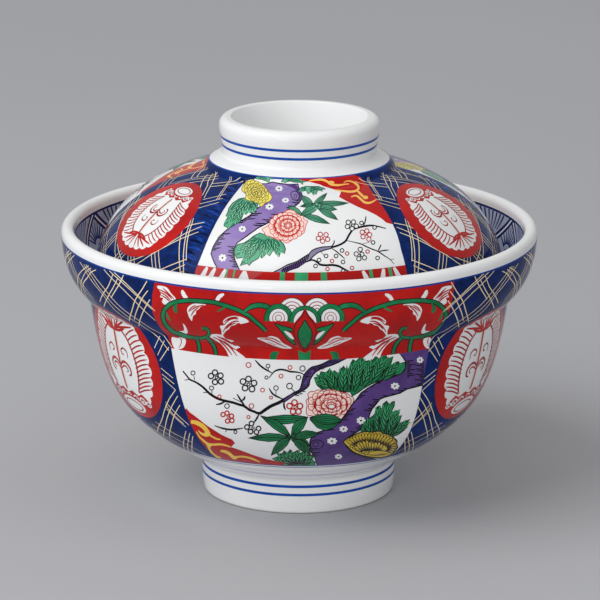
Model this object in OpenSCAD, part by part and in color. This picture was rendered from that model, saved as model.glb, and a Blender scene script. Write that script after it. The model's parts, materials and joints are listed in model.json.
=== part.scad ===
// Donburi bowl with its lid: two thrown porcelain pieces, each a body of revolution about Z.
// The bowl stands on a foot ring. The lid rests inside the bowl's flared collar, on a ledge,
// and carries a knob ring that is also its foot when it lies upside down.
// The origin is on the table, on the axis. Lengths are in millimetres.

/* [Bowl] */
// Diameter over the rim
rim_d = 140; // [134:1:150]
// Height from the table to the top of the rim
bowl_h = 81.2; // [76:0.2:90]
// How far the collar flares out from the notch that it springs from, on the radius
collar_flare = 8; // [5:0.5:12]
// Height of that notch above the table
waist_h = 60; // [52:1:64]
// Thickness of the wall, measured square to it
wall_t = 4.6; // [3.8:0.1:5.4]
// Thickness of the floor over the recess in the foot
floor_t = 5.8; // [4.6:0.2:7]
// Width of the white lip
lip_w = 3.9; // [3:0.1:5]
// Height of the lip's rounding
lip_round = 2.1; // [1:0.1:2.4]
// Rounding inside the notch
notch_fillet = 0.9; // [0.4:0.1:1.4]

/* [Foot ring] */
// Diameter of the foot ring at its widest
foot_d = 57.8; // [50:0.2:64]
// Height at which the wall springs from the ring
foot_h = 10.5; // [9:0.1:14]
// Width of the ring at the table, before its edges are rounded
foot_w = 4.6; // [3.6:0.1:6]
// How much the ring draws in below its widest point, on the radius
foot_taper = 0.8; // [0.2:0.05:1.6]
// How much the ring draws in above its widest point, on the radius
foot_neck = 0.4; // [0:0.05:0.8]
// Rounding of the ring's two edges at the table
foot_round = 1.1; // [0.5:0.1:1.5]
// Rounding between the ring and the wall
foot_fillet = 1.6; // [0.8:0.1:2.4]
// Depth of the recess inside the ring
recess_h = 7.6; // [5:0.1:9]
// Rounding where the recess meets the ring
recess_fillet = 2.4; // [1:0.1:3.2]

/* [Ledge for the lid] */
// Height of the ledge above the notch
ledge_rise = 4.5; // [3.6:0.1:6]
// Width of the ledge
ledge_w = 4.4; // [4:0.1:5]
// Rounding of the ledge's inner edge
ledge_round = 0.6; // [0.3:0.1:0.8]

/* [Lid] */
// Gap round the lid's edge, between it and the foot of the collar
lid_gap = 1.4; // [0.8:0.1:2]
// Thickness of the lid, measured square to it
lid_t = 4.2; // [3.4:0.1:4.8]
// Height of the dome from the ledge to the edge of the skirt
dome_h = 34; // [28:0.2:42]
// Height of the lid's upright edge
edge_h = 1.6; // [1.4:0.1:3]
// Rounding of that edge, where it rests on the ledge
edge_round = 1.2; // [0.6:0.1:1.3]

/* [Knob ring] */
// Diameter of the knob ring at its widest
knob_d = 47.2; // [44:0.2:52]
// Diameter of its neck
neck_d = 45.2; // [40:0.2:47]
// Diameter of the skirt that spreads from the neck onto the dome
skirt_d = 56; // [50:0.2:60]
// Height of the skirt
skirt_h = 3.7; // [2:0.1:5]
// Height of the ring above the skirt
knob_h = 11; // [9:0.1:16]
// Thickness of the ring at its top
knob_w = 3.6; // [2.8:0.1:4.4]
// Thickness of the ring at the floor of its cup
cup_wall_t = 3.8; // [3:0.1:5]
// Thickness of the lid under the cup
cup_floor_t = 4.6; // [3.6:0.1:5.6]
// Rounding between the skirt and the dome
skirt_fillet = 1; // [0.4:0.1:1.6]
// Rounding between the skirt and the neck
neck_fillet = 0.8; // [0.4:0.1:1.4]
// Rounding of the ring's outer edge
knob_round = 2.3; // [1:0.1:2.3]
// Rounding of the ring's inner edge
knob_inner_round = 0.4; // [0.2:0.1:0.4]
// Rounding at the floor of the cup
cup_fillet = 3; // [1:0.1:4]

/* [Hidden] */

$fn = 120;
curve_steps = 24;
round_steps = 8;

// Bowl
rim_r = rim_d / 2;
waist_r = rim_r - collar_flare;
lip_z = bowl_h - lip_round;
ledge_z = waist_h + ledge_rise;
inner_r = waist_r - wall_t;
ledge_r = inner_r + ledge_w;
foot_r = foot_d / 2;
foot_edge_r = foot_r - foot_taper;
foot_inner_r = foot_edge_r - foot_w;
floor_z = recess_h + floor_t;

// Places of the curves' handles, as shares of the stretch that each curve covers
foot_low_share = 0.4;
foot_high_share = 0.72;
wall_low_share = [0.76, 0.29];
wall_high_share = [0.878, 0.438];
collar_low_share = [0.375, 0.16];
collar_high_share = [1, 0.39];
collar_in_share = 0.48;
ledge_flat_share = 0.78;
ledge_lean_share = 0.6;
dome_low_share = [0, 0.139];
dome_high_share = [0.051, 0.753];
skirt_low_share = [0.1, 0.5];
skirt_high_share = [0.5, 0.82];
knob_low_share = 0.31;
knob_high_share = 0.56;
knob_wide_share = 0.74;
axis_share = 0.5;

neck_corner = [foot_r - foot_neck, foot_h];
notch = [waist_r, waist_h];
wall_low = between(neck_corner, notch, wall_low_share);
wall_high = between(neck_corner, notch, wall_high_share);
collar_top = [rim_r, lip_z];
collar_low = between(notch, collar_top, collar_low_share);
collar_high = between(notch, collar_top, collar_high_share);
ledge_flat = [inner_r + ledge_w * ledge_flat_share, ledge_z];

// Lid
lid_r = ledge_r - lid_gap;
knob_r = knob_d / 2;
neck_r = neck_d / 2;
root_z = ledge_z + dome_h + skirt_h;
lid_top = root_z + knob_h;
dome_edge = [lid_r, ledge_z + edge_h];
dome_top = [skirt_d / 2, ledge_z + dome_h];
dome_low = between(dome_edge, dome_top, dome_low_share);
dome_high = between(dome_edge, dome_top, dome_high_share);
dome_inside_top = beside(dome_edge, dome_low, dome_high, dome_top, 1, lid_t);
dome_swell = skirt_h / 2;
apex_z = dome_inside_top[1] + dome_swell;
cup_z = apex_z + cup_floor_t;
cup_r = neck_r - cup_wall_t;
knob_inner_r = knob_r - knob_w;
knob_wide_z = root_z + knob_h * knob_wide_share;
neck_root = [neck_r, root_z];
skirt_low = between(dome_top, neck_root, skirt_low_share);
skirt_high = between(dome_top, neck_root, skirt_high_share);

// A point between two others, with its own share along each direction
function between(a, b, share) = [
    a[0] + (b[0] - a[0]) * share[0],
    a[1] + (b[1] - a[1]) * share[1]
];

// One point of a smooth curve from a to d that leaves towards b and arrives from c
function along(a, b, c, d, t) =
    a * pow(1 - t, 3) + b * 3 * pow(1 - t, 2) * t + c * 3 * (1 - t) * pow(t, 2) + d * pow(t, 3);

// The direction of that curve
function heading(a, b, c, d, t) =
    unit((b - a) * pow(1 - t, 2) + (c - b) * 2 * (1 - t) * t + (d - c) * pow(t, 2));

// The point at a given depth on the curve's left-hand side, which is its inside
function beside(a, b, c, d, t, depth) =
    let (h = heading(a, b, c, d, t))
    along(a, b, c, d, t) + [-h[1], h[0]] * depth;

function unit(v) = v / norm(v);

function curve(a, b, c, d) = [for (i = [0:curve_steps]) along(a, b, c, d, i / curve_steps)];

// The inside of a wall whose thickness goes from t_end at the curve's end to t_start at its start,
// listed from the end back to the start
function inside(a, b, c, d, t_start, t_end) = [
    for (i = [curve_steps:-1:0])
    let (t = i / curve_steps)
    beside(a, b, c, d, t, t_end + (t_start - t_end) * pow(1 - t, 2))
];

// Where a rounding of radius r touches the side that runs from the corner towards a point
function touch(corner, towards, other, r) =
    let (
        u = unit(towards - corner),
        v = unit(other - corner),
        half = acos(u * v) / 2
    )
    corner + u * r / tan(half);

// An arc of radius r in the corner at b, between the directions to a and to c
function rounded(a, b, c, r) =
    let (
        u = unit(a - b),
        v = unit(c - b),
        half = acos(u * v) / 2,
        centre = b + unit(u + v) * r / sin(half),
        from = touch(b, a, c, r) - centre,
        to = touch(b, c, a, r) - centre,
        turn = sign(from[0] * to[1] - from[1] * to[0]) * (180 - 2 * half)
    )
    [
        for (i = [0:round_steps])
        let (angle = turn * i / round_steps)
        centre + [
            from[0] * cos(angle) - from[1] * sin(angle),
            from[0] * sin(angle) + from[1] * cos(angle)
        ]
    ];

// A smooth finish from point p, heading h, to the axis at height z
function to_axis(p, h, z) =
    let (
        meet_r = p[0] + h[0] / h[1] * (z - p[1]),
        meet = [meet_r, z]
    )
    curve(p, meet, [meet_r * axis_share, z], [0, z]);

// The half oval of the lip, from its outer side over the top to its inner side
function lip_points() = [
    for (i = [0:round_steps * 2])
    let (angle = 180 * i / (round_steps * 2))
    [rim_r - lip_w / 2 + cos(angle) * lip_w / 2, lip_z + sin(angle) * lip_round]
];

function foot_points() =
    let (
        inner_corner = [foot_inner_r, 0],
        outer_corner = [foot_edge_r, 0],
        recess_corner = [foot_inner_r, recess_h],
        low = [foot_r, foot_h * foot_low_share],
        high = [foot_r, foot_h * foot_high_share]
    )
    concat(
        rounded([0, recess_h], recess_corner, inner_corner, recess_fillet),
        rounded(recess_corner, inner_corner, outer_corner, foot_round),
        rounded(inner_corner, outer_corner, low, foot_round),
        curve(
            touch(outer_corner, low, inner_corner, foot_round),
            low,
            high,
            touch(neck_corner, high, wall_low, foot_fillet)
        ),
        rounded(high, neck_corner, wall_low, foot_fillet)
    );

function wall_points() = curve(
    touch(neck_corner, wall_low, [foot_r, foot_h * foot_high_share], foot_fillet),
    wall_low,
    wall_high,
    touch(notch, wall_high, collar_low, notch_fillet)
);

function collar_points() = concat(
    rounded(wall_high, notch, collar_low, notch_fillet),
    curve(touch(notch, collar_low, wall_high, notch_fillet), collar_low, collar_high, collar_top),
    lip_points(),
    curve(
        [rim_r - lip_w, lip_z],
        [rim_r - lip_w, lip_z - (lip_z - ledge_z) * collar_in_share],
        [ledge_flat[0] + ledge_w * ledge_lean_share, ledge_z],
        ledge_flat
    )
);

function bowl_inside_points() =
    let (
        wall = inside(neck_corner, wall_low, wall_high, notch, floor_t, wall_t),
        floor_start = wall[len(wall) - 1]
    )
    concat(
        rounded(ledge_flat, [inner_r, ledge_z], wall[0], ledge_round),
        wall,
        to_axis(floor_start, heading(neck_corner, wall_low, wall_high, notch, 0), floor_z)
    );

function lid_inside_points() =
    let (
        dome = inside(dome_edge, dome_low, dome_high, dome_top, lid_t, lid_t),
        apex_start = dome[0]
    )
    concat(
        reversed(to_axis(apex_start, heading(dome_edge, dome_low, dome_high, dome_top, 1), apex_z)),
        dome
    );

function reversed(points) = [for (i = [len(points) - 1:-1:0]) points[i]];

function lid_edge_points() =
    let (
        inner_corner = [lid_r - lid_t, ledge_z],
        outer_corner = [lid_r, ledge_z]
    )
    concat(
        rounded([lid_r - lid_t, dome_edge[1]], inner_corner, outer_corner, edge_round),
        rounded(inner_corner, outer_corner, dome_edge, edge_round)
    );

function knob_points() =
    let (
        neck_low = [neck_r, root_z + knob_h * knob_low_share],
        neck_high = [knob_r, root_z + knob_h * knob_high_share],
        outer_corner = [knob_r, lid_top],
        inner_corner = [knob_inner_r, lid_top],
        cup_corner = [cup_r, cup_z]
    )
    concat(
        rounded(dome_high, dome_top, skirt_low, skirt_fillet),
        curve(
            touch(dome_top, skirt_low, dome_high, skirt_fillet),
            skirt_low,
            skirt_high,
            touch(neck_root, skirt_high, neck_low, neck_fillet)
        ),
        rounded(skirt_high, neck_root, neck_low, neck_fillet),
        curve(touch(neck_root, neck_low, skirt_high, neck_fillet), neck_low, neck_high, [knob_r, knob_wide_z]),
        rounded([knob_r, knob_wide_z], outer_corner, inner_corner, knob_round),
        rounded(outer_corner, inner_corner, cup_corner, knob_inner_round),
        rounded(inner_corner, cup_corner, [0, cup_z], cup_fillet),
        [[0, cup_z]]
    );

module bowl() {
    color("white")
    rotate_extrude()
    polygon(concat(
        [[0, recess_h]],
        foot_points(),
        wall_points(),
        collar_points(),
        bowl_inside_points()
    ));
}

module lid() {
    color("royalblue")
    rotate_extrude()
    polygon(concat(
        lid_inside_points(),
        lid_edge_points(),
        curve(dome_edge, dome_low, dome_high, touch(dome_top, dome_high, skirt_low, skirt_fillet)),
        knob_points()
    ));
}

bowl();
lid();
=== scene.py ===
# %% [markdown]
# # A donburi bowl with its lid
# Two pieces of white porcelain, thrown on a wheel and painted: a deep bowl with a flared collar, and a
# domed lid whose ring knob is also its foot. The solids come from the CAD model and are not changed here.
# This lesson gives them their glaze and their painting: blue under the glaze, and red, green, purple,
# yellow, black and gold enamels over it. Lengths are in metres unless a name ends in `_mm`.

# %% Load the frame
import json
import math
import bpy
import numpy as np
from mathutils import Matrix, Vector
from mathutils.geometry import delaunay_2d_cdt

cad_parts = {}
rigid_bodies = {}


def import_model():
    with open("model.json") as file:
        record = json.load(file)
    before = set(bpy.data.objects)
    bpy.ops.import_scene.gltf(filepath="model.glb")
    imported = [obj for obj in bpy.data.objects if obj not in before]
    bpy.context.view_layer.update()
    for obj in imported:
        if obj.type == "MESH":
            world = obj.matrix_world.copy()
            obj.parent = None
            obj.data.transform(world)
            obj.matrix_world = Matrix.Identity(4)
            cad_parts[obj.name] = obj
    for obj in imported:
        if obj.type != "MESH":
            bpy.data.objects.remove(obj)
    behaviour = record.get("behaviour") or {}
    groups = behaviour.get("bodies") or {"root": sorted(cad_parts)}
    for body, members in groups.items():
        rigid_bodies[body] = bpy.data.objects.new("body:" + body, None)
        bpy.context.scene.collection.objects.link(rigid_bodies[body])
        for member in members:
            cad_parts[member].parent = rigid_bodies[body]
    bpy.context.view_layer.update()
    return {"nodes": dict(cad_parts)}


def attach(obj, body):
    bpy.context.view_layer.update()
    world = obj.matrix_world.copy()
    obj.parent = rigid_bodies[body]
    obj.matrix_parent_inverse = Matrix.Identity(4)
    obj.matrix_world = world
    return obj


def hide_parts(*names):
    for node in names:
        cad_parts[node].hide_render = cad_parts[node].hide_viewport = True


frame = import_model()
MM = 0.001

# %% [markdown]
# ## Camera
# The photograph was taken with a long lens from a little above the rim, so the rings of the bowl show as
# flat ellipses. Distance, elevation and lens were fitted to those ellipses. The camera comes first because
# the painting is laid out through it: a brush stroke is placed where the photograph shows it.

# %% Place the camera
PHOTO_PX = 600
LENS_MM = 235.4
SENSOR_MM = 36.0
CAMERA_DISTANCE = 1.163
CAMERA_ELEVATION = math.radians(15.52)
LOOK_HEIGHT = 0.050
AIM = Vector((0.0003, 0, 0.0573))
ROLL = math.radians(0.20)


def place_camera():
    data = bpy.data.cameras.new("photo_camera")
    data.lens = LENS_MM
    data.sensor_width = SENSOR_MM
    data.clip_start = 0.05
    camera = bpy.data.objects.new("photo_camera", data)
    bpy.context.scene.collection.objects.link(camera)
    place = Vector((0, -math.cos(CAMERA_ELEVATION), math.sin(CAMERA_ELEVATION))) * CAMERA_DISTANCE
    place.z += LOOK_HEIGHT
    turn = (AIM - place).to_track_quat("-Z", "Y").to_matrix().to_4x4() @ Matrix.Rotation(ROLL, 4, "Z")
    camera.matrix_world = Matrix.Translation(place) @ turn
    bpy.context.scene.camera = camera
    return camera


camera = place_camera()
print("camera at", [round(v, 4) for v in camera.matrix_world.translation])

# %% [markdown]
# ## The turned outline
# A thrown pot is one outline swept round an axis. The CAD solids already hold that outline: it is the seam
# in their +X half. Reading it back keeps the glaze exactly on the clay, with no second set of sizes.

# %% Read each outline off its solid
SEAM_WIDTH = 1e-6
SAME_POINT = 1e-6


def read_outline(node):
    """The (radius, height) points along the solid's half section, from its lower end on the axis to its upper."""
    mesh = frame["nodes"][node].data
    on_seam = [abs(v.co.y) < SEAM_WIDTH and v.co.x > -SEAM_WIDTH for v in mesh.vertices]
    names = [(round(v.co.x / SAME_POINT), round(v.co.z / SAME_POINT)) for v in mesh.vertices]
    neighbours = {}
    for edge in mesh.edges:
        a, b = edge.vertices
        if on_seam[a] and on_seam[b] and names[a] != names[b]:
            neighbours.setdefault(names[a], set()).add(names[b])
            neighbours.setdefault(names[b], set()).add(names[a])
    path = [min((p for p in neighbours if len(neighbours[p]) == 1), key=lambda p: p[1])]
    while len(path) < 2 or len(neighbours[path[-1]]) > 1:
        path.append(next(p for p in neighbours[path[-1]] if len(path) < 2 or p != path[-2]))
    closed = [(0, path[0][1])] * (path[0][0] > 0) + path + [(0, path[-1][1])] * (path[-1][0] > 0)
    return np.array(closed) * SAME_POINT


def run_along(path):
    """The length run at each point of a path."""
    return np.concatenate([[0], np.cumsum(np.hypot(*np.diff(path, axis=0).T))])


class Turned:
    """One turned piece: its outline, the length along it, and the outward normal at each of its points."""

    def __init__(self, node):
        self.points = read_outline(node)
        self.arc = run_along(self.points)
        steps = np.diff(self.points, axis=0)
        across = np.stack([steps[:, 1], -steps[:, 0]], 1)
        self.normals = np.zeros_like(self.points)
        self.normals[:-1] += across
        self.normals[1:] += across
        self.normals[[0, -1], 0] = 0
        self.normals /= np.hypot(self.normals[:, 0], self.normals[:, 1])[:, None]

    def at(self, arc):
        """Radius, height and the normal's two parts at lengths along the outline."""
        parts = [self.points[:, 0], self.points[:, 1], self.normals[:, 0], self.normals[:, 1]]
        return [np.interp(arc, self.arc, part) for part in parts]

    def arc_at(self, height, outside=True):
        """Length along the outline where its outer side, or its inner side, passes a height."""
        crossings = [
            self.arc[i] + (height - z0) / (z1 - z0) * (self.arc[i + 1] - self.arc[i])
            for i, (z0, z1) in enumerate(zip(self.points[:-1, 1], self.points[1:, 1]))
            if min(z0, z1) <= height <= max(z0, z1) and z0 != z1
        ]
        at_radius = [np.interp(c, self.arc, self.points[:, 0]) for c in crossings]
        return crossings[int(np.argmax(at_radius) if outside else np.argsort(at_radius)[-2])]


turned = {node: Turned(node) for node in ("bowl", "lid")}
for node, piece in turned.items():
    print(node, "outline:", len(piece.points), "points,", round(piece.arc[-1] / MM, 1), "mm long")

# %% [markdown]
# ## Helpers for node trees
# Geometry Nodes and shader groups are both built in the script. Short helpers keep that readable: `feed`
# gives a node's inputs plain values, or links where the value is another node's socket; `add` makes a node
# with its settings and feeds it; `new_group` opens a group with named sockets; `maths` adds one Math node.
# `run_tree` then runs a Geometry Nodes tree on an object and keeps what it made.

# %% Helpers for node trees
def feed(tree, node, inputs):
    for name, value in inputs.items():
        if isinstance(value, bpy.types.NodeSocket):
            tree.links.new(value, node.inputs[name])
        else:
            node.inputs[name].default_value = value


def add(tree, kind, inputs=None, **settings):
    node = tree.nodes.new(kind)
    for name, value in settings.items():
        setattr(node, name, value)
    feed(tree, node, inputs or {})
    return node


def new_group(name, kind, inputs, outputs):
    """An empty group with named sockets, and the sockets that hand its inputs on."""
    tree = bpy.data.node_groups.new(name, kind)
    for direction, sockets in (("INPUT", inputs), ("OUTPUT", outputs)):
        for socket, sort in sockets.items():
            tree.interface.new_socket(socket, in_out=direction, socket_type="NodeSocket" + sort)
    return tree, add(tree, "NodeGroupInput").outputs


def maths(tree, operation, first, second):
    """A Math node on two values, each a number or a socket."""
    return add(tree, "ShaderNodeMath", {0: first, 1: second}, operation=operation).outputs[0]


def run_tree(mesh_object, tree, **values):
    """Puts a Geometry Nodes tree on an object, sets its inputs, and keeps the result as a plain mesh."""
    modifier = mesh_object.modifiers.new(tree.name, "NODES")
    modifier.node_group = tree
    for item in tree.interface.items_tree:
        if item.in_out == "INPUT" and item.name in values:
            modifier[item.identifier] = values[item.name]
    bpy.context.view_layer.update()
    evaluated = mesh_object.evaluated_get(bpy.context.evaluated_depsgraph_get())
    plain = bpy.data.meshes.new_from_object(evaluated)
    mesh_object.modifiers.remove(modifier)
    mesh_object.data = plain


def new_object(name, data):
    made = bpy.data.objects.new(name, data)
    bpy.context.scene.collection.objects.link(made)
    return made


print("helpers ready")

# %% [markdown]
# ## The potter's wheel
# The body could be spun with the Screw modifier, but a Geometry Nodes tree says the rule outright: take a
# grid, read its rows as points of the outline and its columns as turns of the wheel, then weld the seam.
# Each row asks Sample Index for its point on the outline.

# %% Build the wheel
def close_tree(tree, given, geometry):
    """The end of both trees: realize, weld, set the finish and hand the geometry out."""
    real = add(tree, "GeometryNodeRealizeInstances", {"Geometry": geometry}).outputs[0]
    weld = add(tree, "GeometryNodeMergeByDistance", {"Geometry": real, "Distance": given["Weld"]}).outputs[0]
    finish = add(tree, "GeometryNodeSetMaterial", {"Geometry": weld, "Material": given["Finish"]}).outputs[0]
    add(tree, "NodeGroupOutput", {"Geometry": finish})


def build_wheel():
    sockets = {"Outline": "Object", "Rows": "Int", "Columns": "Int", "Weld": "Float", "Finish": "Material"}
    tree, given = new_group("potters_wheel", "GeometryNodeTree", sockets, {"Geometry": "Geometry"})
    columns = maths(tree, "ADD", given["Columns"], 1)
    grid = add(tree, "GeometryNodeMeshGrid", {"Vertices X": columns, "Vertices Y": given["Rows"]})
    index = add(tree, "GeometryNodeInputIndex").outputs[0]
    row = maths(tree, "MODULO", index, given["Rows"])
    column = maths(tree, "FLOOR", maths(tree, "DIVIDE", index, given["Rows"]), 0)
    turn = maths(tree, "MULTIPLY", maths(tree, "DIVIDE", column, given["Columns"]), math.tau)
    outline = add(tree, "GeometryNodeObjectInfo", {"Object": given["Outline"]}).outputs["Geometry"]
    position = add(tree, "GeometryNodeInputPosition").outputs[0]
    asked = {"Geometry": outline, "Value": position, "Index": row}
    point = add(tree, "GeometryNodeSampleIndex", asked, data_type="FLOAT_VECTOR").outputs["Value"]
    spot = add(tree, "ShaderNodeVectorRotate", {"Vector": point, "Angle": turn}, rotation_type="Z_AXIS").outputs[0]
    place = add(tree, "GeometryNodeSetPosition", {"Geometry": grid.outputs["Mesh"], "Position": spot})
    close_tree(tree, given, place.outputs[0])
    return tree


wheel = build_wheel()
print("wheel:", len(wheel.nodes), "nodes")

# %% [markdown]
# ## The repeat
# The ornament has a threefold rule: one painted panel and one blue field with its medallion make a third
# of the pot. Only one third is drawn, and a second tree copies it round the axis.

# %% Build the repeat
def build_repeat():
    sockets = {"Geometry": "Geometry", "Copies": "Int", "Weld": "Float", "Finish": "Material"}
    tree, given = new_group("repeat_round_axis", "GeometryNodeTree", sockets, {"Geometry": "Geometry"})
    points = add(tree, "GeometryNodePoints", {"Count": given["Copies"]}).outputs[0]
    share = maths(tree, "DIVIDE", add(tree, "GeometryNodeInputIndex").outputs[0], given["Copies"])
    turn = add(tree, "ShaderNodeCombineXYZ", {"Z": maths(tree, "MULTIPLY", share, math.tau)}).outputs[0]
    copied = {"Points": points, "Instance": given["Geometry"], "Rotation": turn}
    close_tree(tree, given, add(tree, "GeometryNodeInstanceOnPoints", copied).outputs[0])
    return tree


repeat = build_repeat()
print("repeat:", len(repeat.nodes), "nodes")

# %% [markdown]
# ## Finishes
# Glaze is clear glass over white clay, so every finish here is a glossy Principled surface. Nothing fired is
# quite even. A shared group gives each finish its slow drift in tone, where the glaze pools thicker or
# thinner, and a second one gives the faint ripple that bends a highlight.

# %% Shared glaze groups
def build_drift():
    """Mixes two tones of one colour by a slow cloud and a finer brushy one."""
    sockets = {"Light": "Color", "Deep": "Color"}
    sockets |= dict.fromkeys(("Cloud scale", "Brush scale", "Brush share"), "Float")
    tree, given = new_group("glaze_drift", "ShaderNodeTree", sockets, {"Colour": "Color", "Mask": "Float"})
    where = add(tree, "ShaderNodeTexCoord").outputs["Object"]
    blend = {"Factor": given["Brush share"]}
    for slot, scale, detail, rough in (("A", "Cloud scale", 3.0, 0.5), ("B", "Brush scale", 5.0, 0.65)):
        noise = {"Vector": where, "Scale": given[scale], "Detail": detail, "Roughness": rough}
        blend[slot] = add(tree, "ShaderNodeTexNoise", noise).outputs["Fac"]
    spread = {"Value": add(tree, "ShaderNodeMix", blend).outputs["Result"], "From Min": 0.32, "From Max": 0.68}
    mask = add(tree, "ShaderNodeMapRange", spread).outputs["Result"]
    tone = add(tree, "ShaderNodeMix", {"Factor": mask, 6: given["Deep"], 7: given["Light"]}, data_type="RGBA")
    add(tree, "NodeGroupOutput", {"Colour": tone.outputs[2], "Mask": mask})
    return tree


def build_ripple():
    """The shallow waves of a fired glaze, as a normal."""
    sockets = {"Scale": "Float", "Depth": "Float"}
    tree, given = new_group("glaze_ripple", "ShaderNodeTree", sockets, {"Normal": "Vector"})
    where = add(tree, "ShaderNodeTexCoord").outputs["Object"]
    waves = {"Vector": where, "Scale": given["Scale"], "Detail": 2.0, "Roughness": 0.5}
    height = add(tree, "ShaderNodeTexNoise", waves).outputs["Fac"]
    bump = add(tree, "ShaderNodeBump", {"Strength": 1.0, "Height": height, "Distance": given["Depth"]})
    add(tree, "NodeGroupOutput", {"Normal": bump.outputs[0]})
    return tree


drift = build_drift()
ripple = build_ripple()
print("glaze groups:", drift.name, ripple.name)

# %% [markdown]
# Each colour is written as it looks on a screen, in sRGB, and turned to the linear values that Blender
# mixes. `toned` starts a material with the drift in its base colour, and `glazed` adds the gloss and the
# ripple. The material's own shader holds what doesn't vary.

# %% Make the finishes
def screen(red, green, blue):
    """A colour as seen on a screen, from 0 to 255, as Blender's linear values."""
    channel = [c / 255 for c in (red, green, blue)]
    return [c / 12.92 if c <= 0.04045 else ((c + 0.055) / 1.055) ** 2.4 for c in channel] + [1.0]


RIPPLE_SCALE = 45.0
RIPPLE_DEPTH = 0.00002
GLAZE_IOR = 1.5
GLAZE_SHEEN = 0.2
GLOSS = (0.05, 0.10)


def toned(name, light, deep, cloud, brush, brush_share):
    """A material whose base colour drifts between two tones, its shader, and the mask of the drift."""
    material = bpy.data.materials.new(name)
    material.use_nodes = True
    shader = material.node_tree.nodes["Principled BSDF"]
    tones = {"Light": screen(*light), "Deep": screen(*deep), "Cloud scale": cloud, "Brush scale": brush,
             "Brush share": brush_share}
    tone = add(material.node_tree, "ShaderNodeGroup", tones, node_tree=drift)
    feed(material.node_tree, shader, {"Base Color": tone.outputs["Colour"]})
    return material, shader, tone.outputs["Mask"]


def glazed(name, light, deep, cloud=35.0, brush=260.0, brush_share=0.35, rough=GLOSS, sheen=GLAZE_SHEEN):
    material, shader, mask = toned(name, light, deep, cloud, brush, brush_share)
    tree = material.node_tree
    wave = add(tree, "ShaderNodeGroup", {"Scale": RIPPLE_SCALE, "Depth": RIPPLE_DEPTH}, node_tree=ripple)
    gloss = add(tree, "ShaderNodeMapRange", {"Value": mask, "To Min": rough[0], "To Max": rough[1]})
    feed(tree, shader, {"Roughness": gloss.outputs["Result"], "Normal": wave.outputs["Normal"],
                        "IOR": GLAZE_IOR, "Specular IOR Level": sheen})
    material.diffuse_color = screen(*light)
    return material


BLUE = dict(cloud=90, brush=520, sheen=0.05)
FINE = dict(cloud=150, brush_share=0.5)
WARM = dict(cloud=140, brush_share=0.5)
FINISHES = {
    "porcelain": glazed("porcelain", (243, 244, 244), (236, 237, 238), brush_share=0.2),
    "cobalt": glazed("cobalt_blue", (22, 52, 122), (13, 27, 66), brush_share=0.55, **BLUE),
    "azure": glazed("brushed_blue", (26, 74, 166), (12, 50, 132), brush_share=0.6, **BLUE),
    "night": glazed("pooled_blue", (8, 20, 62), (4, 10, 36), brush_share=0.6, **BLUE),
    "ring_blue": glazed("ring_blue", (22, 90, 188), (10, 58, 152), cloud=90, brush=300, brush_share=0.5),
    "red": glazed("iron_red", (204, 26, 20), (164, 12, 14), cloud=70),
    "green": glazed("leaf_green", (34, 146, 90), (10, 96, 54), **FINE),
    "fresh": glazed("light_green", (70, 180, 120), (34, 140, 84), **FINE),
    "pale": glazed("pale_green", (134, 212, 172), (100, 186, 142), **FINE),
    "mint": glazed("thin_green", (112, 192, 154), (66, 152, 116), **FINE),
    "lilac": glazed("thin_purple", (160, 138, 196), (130, 106, 172), cloud=110),
    "lemon": glazed("thin_yellow", (252, 240, 124), (240, 218, 84), **WARM),
    "purple": glazed("manganese_purple", (100, 72, 142), (72, 47, 112), cloud=110),
    "yellow": glazed("straw_yellow", (232, 206, 80), (206, 170, 42), **WARM),
    "scroll": glazed("scroll_yellow", (255, 210, 118), (248, 186, 84), **WARM),
    "maize": glazed("maize_yellow", (255, 222, 100), (242, 190, 62), **WARM),
    "black": glazed("outline_black", (16, 14, 20), (6, 5, 10)),
    "gold": glazed("gold_line", (255, 241, 205), (234, 206, 158), cloud=150, brush_share=0.6, rough=(0.2, 0.3)),
    "rose": glazed("rose_line", (178, 54, 52), (146, 32, 36), cloud=150),
    "coral": glazed("coral_line", (226, 92, 72), (204, 66, 54), cloud=150),
    "ash": glazed("grey_purple_wash", (158, 150, 176), (128, 118, 150), **FINE),
    "blush": glazed("blush_wash", (252, 230, 222), (247, 208, 198), **FINE),
    "clay": glazed("bare_clay", (226, 220, 208), (208, 200, 186), cloud=400, brush=1500, rough=(0.7, 0.85)),
    "teal": glazed("leaf_outline", (26, 84, 62), (14, 58, 44)),
    "umber": glazed("petal_outline", (122, 104, 30), (94, 78, 18)),
    "haze": glazed("thin_blue_wash", (186, 196, 220), (152, 164, 196), **FINE),
}
print("finishes:", ", ".join(FINISHES))

# %% [markdown]
# ## The porcelain
# The bowl and the lid each come off the wheel as one smooth glazed body. The faceted CAD solids keep their
# job in the physics, and these stand for them. Every vertex gets its normal from the outline itself, so the
# glaze has no facets and a highlight runs round it evenly.

# %% Turn the two bodies
COLUMNS = 180
WELD = 1e-6
SLOPE = "slope"


def store_slope(mesh, slopes):
    mesh.attributes.new(SLOPE, "FLOAT", "POINT").data.foreach_set("value", slopes)


def smooth_by_slope(mesh):
    """Sets each vertex normal from its place round the axis and its stored slope along the outline."""
    spots = np.empty(len(mesh.vertices) * 3)
    mesh.vertices.foreach_get("co", spots)
    spots = spots.reshape(-1, 3)
    slope = np.empty(len(mesh.vertices))
    mesh.attributes[SLOPE].data.foreach_get("value", slope)
    round_axis = np.arctan2(spots[:, 1], spots[:, 0])
    level = np.cos(slope)
    normals = np.stack([level * np.cos(round_axis), level * np.sin(round_axis), np.sin(slope)], 1)
    mesh.shade_smooth()
    mesh.normals_split_custom_set_from_vertices(normals.tolist())


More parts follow.
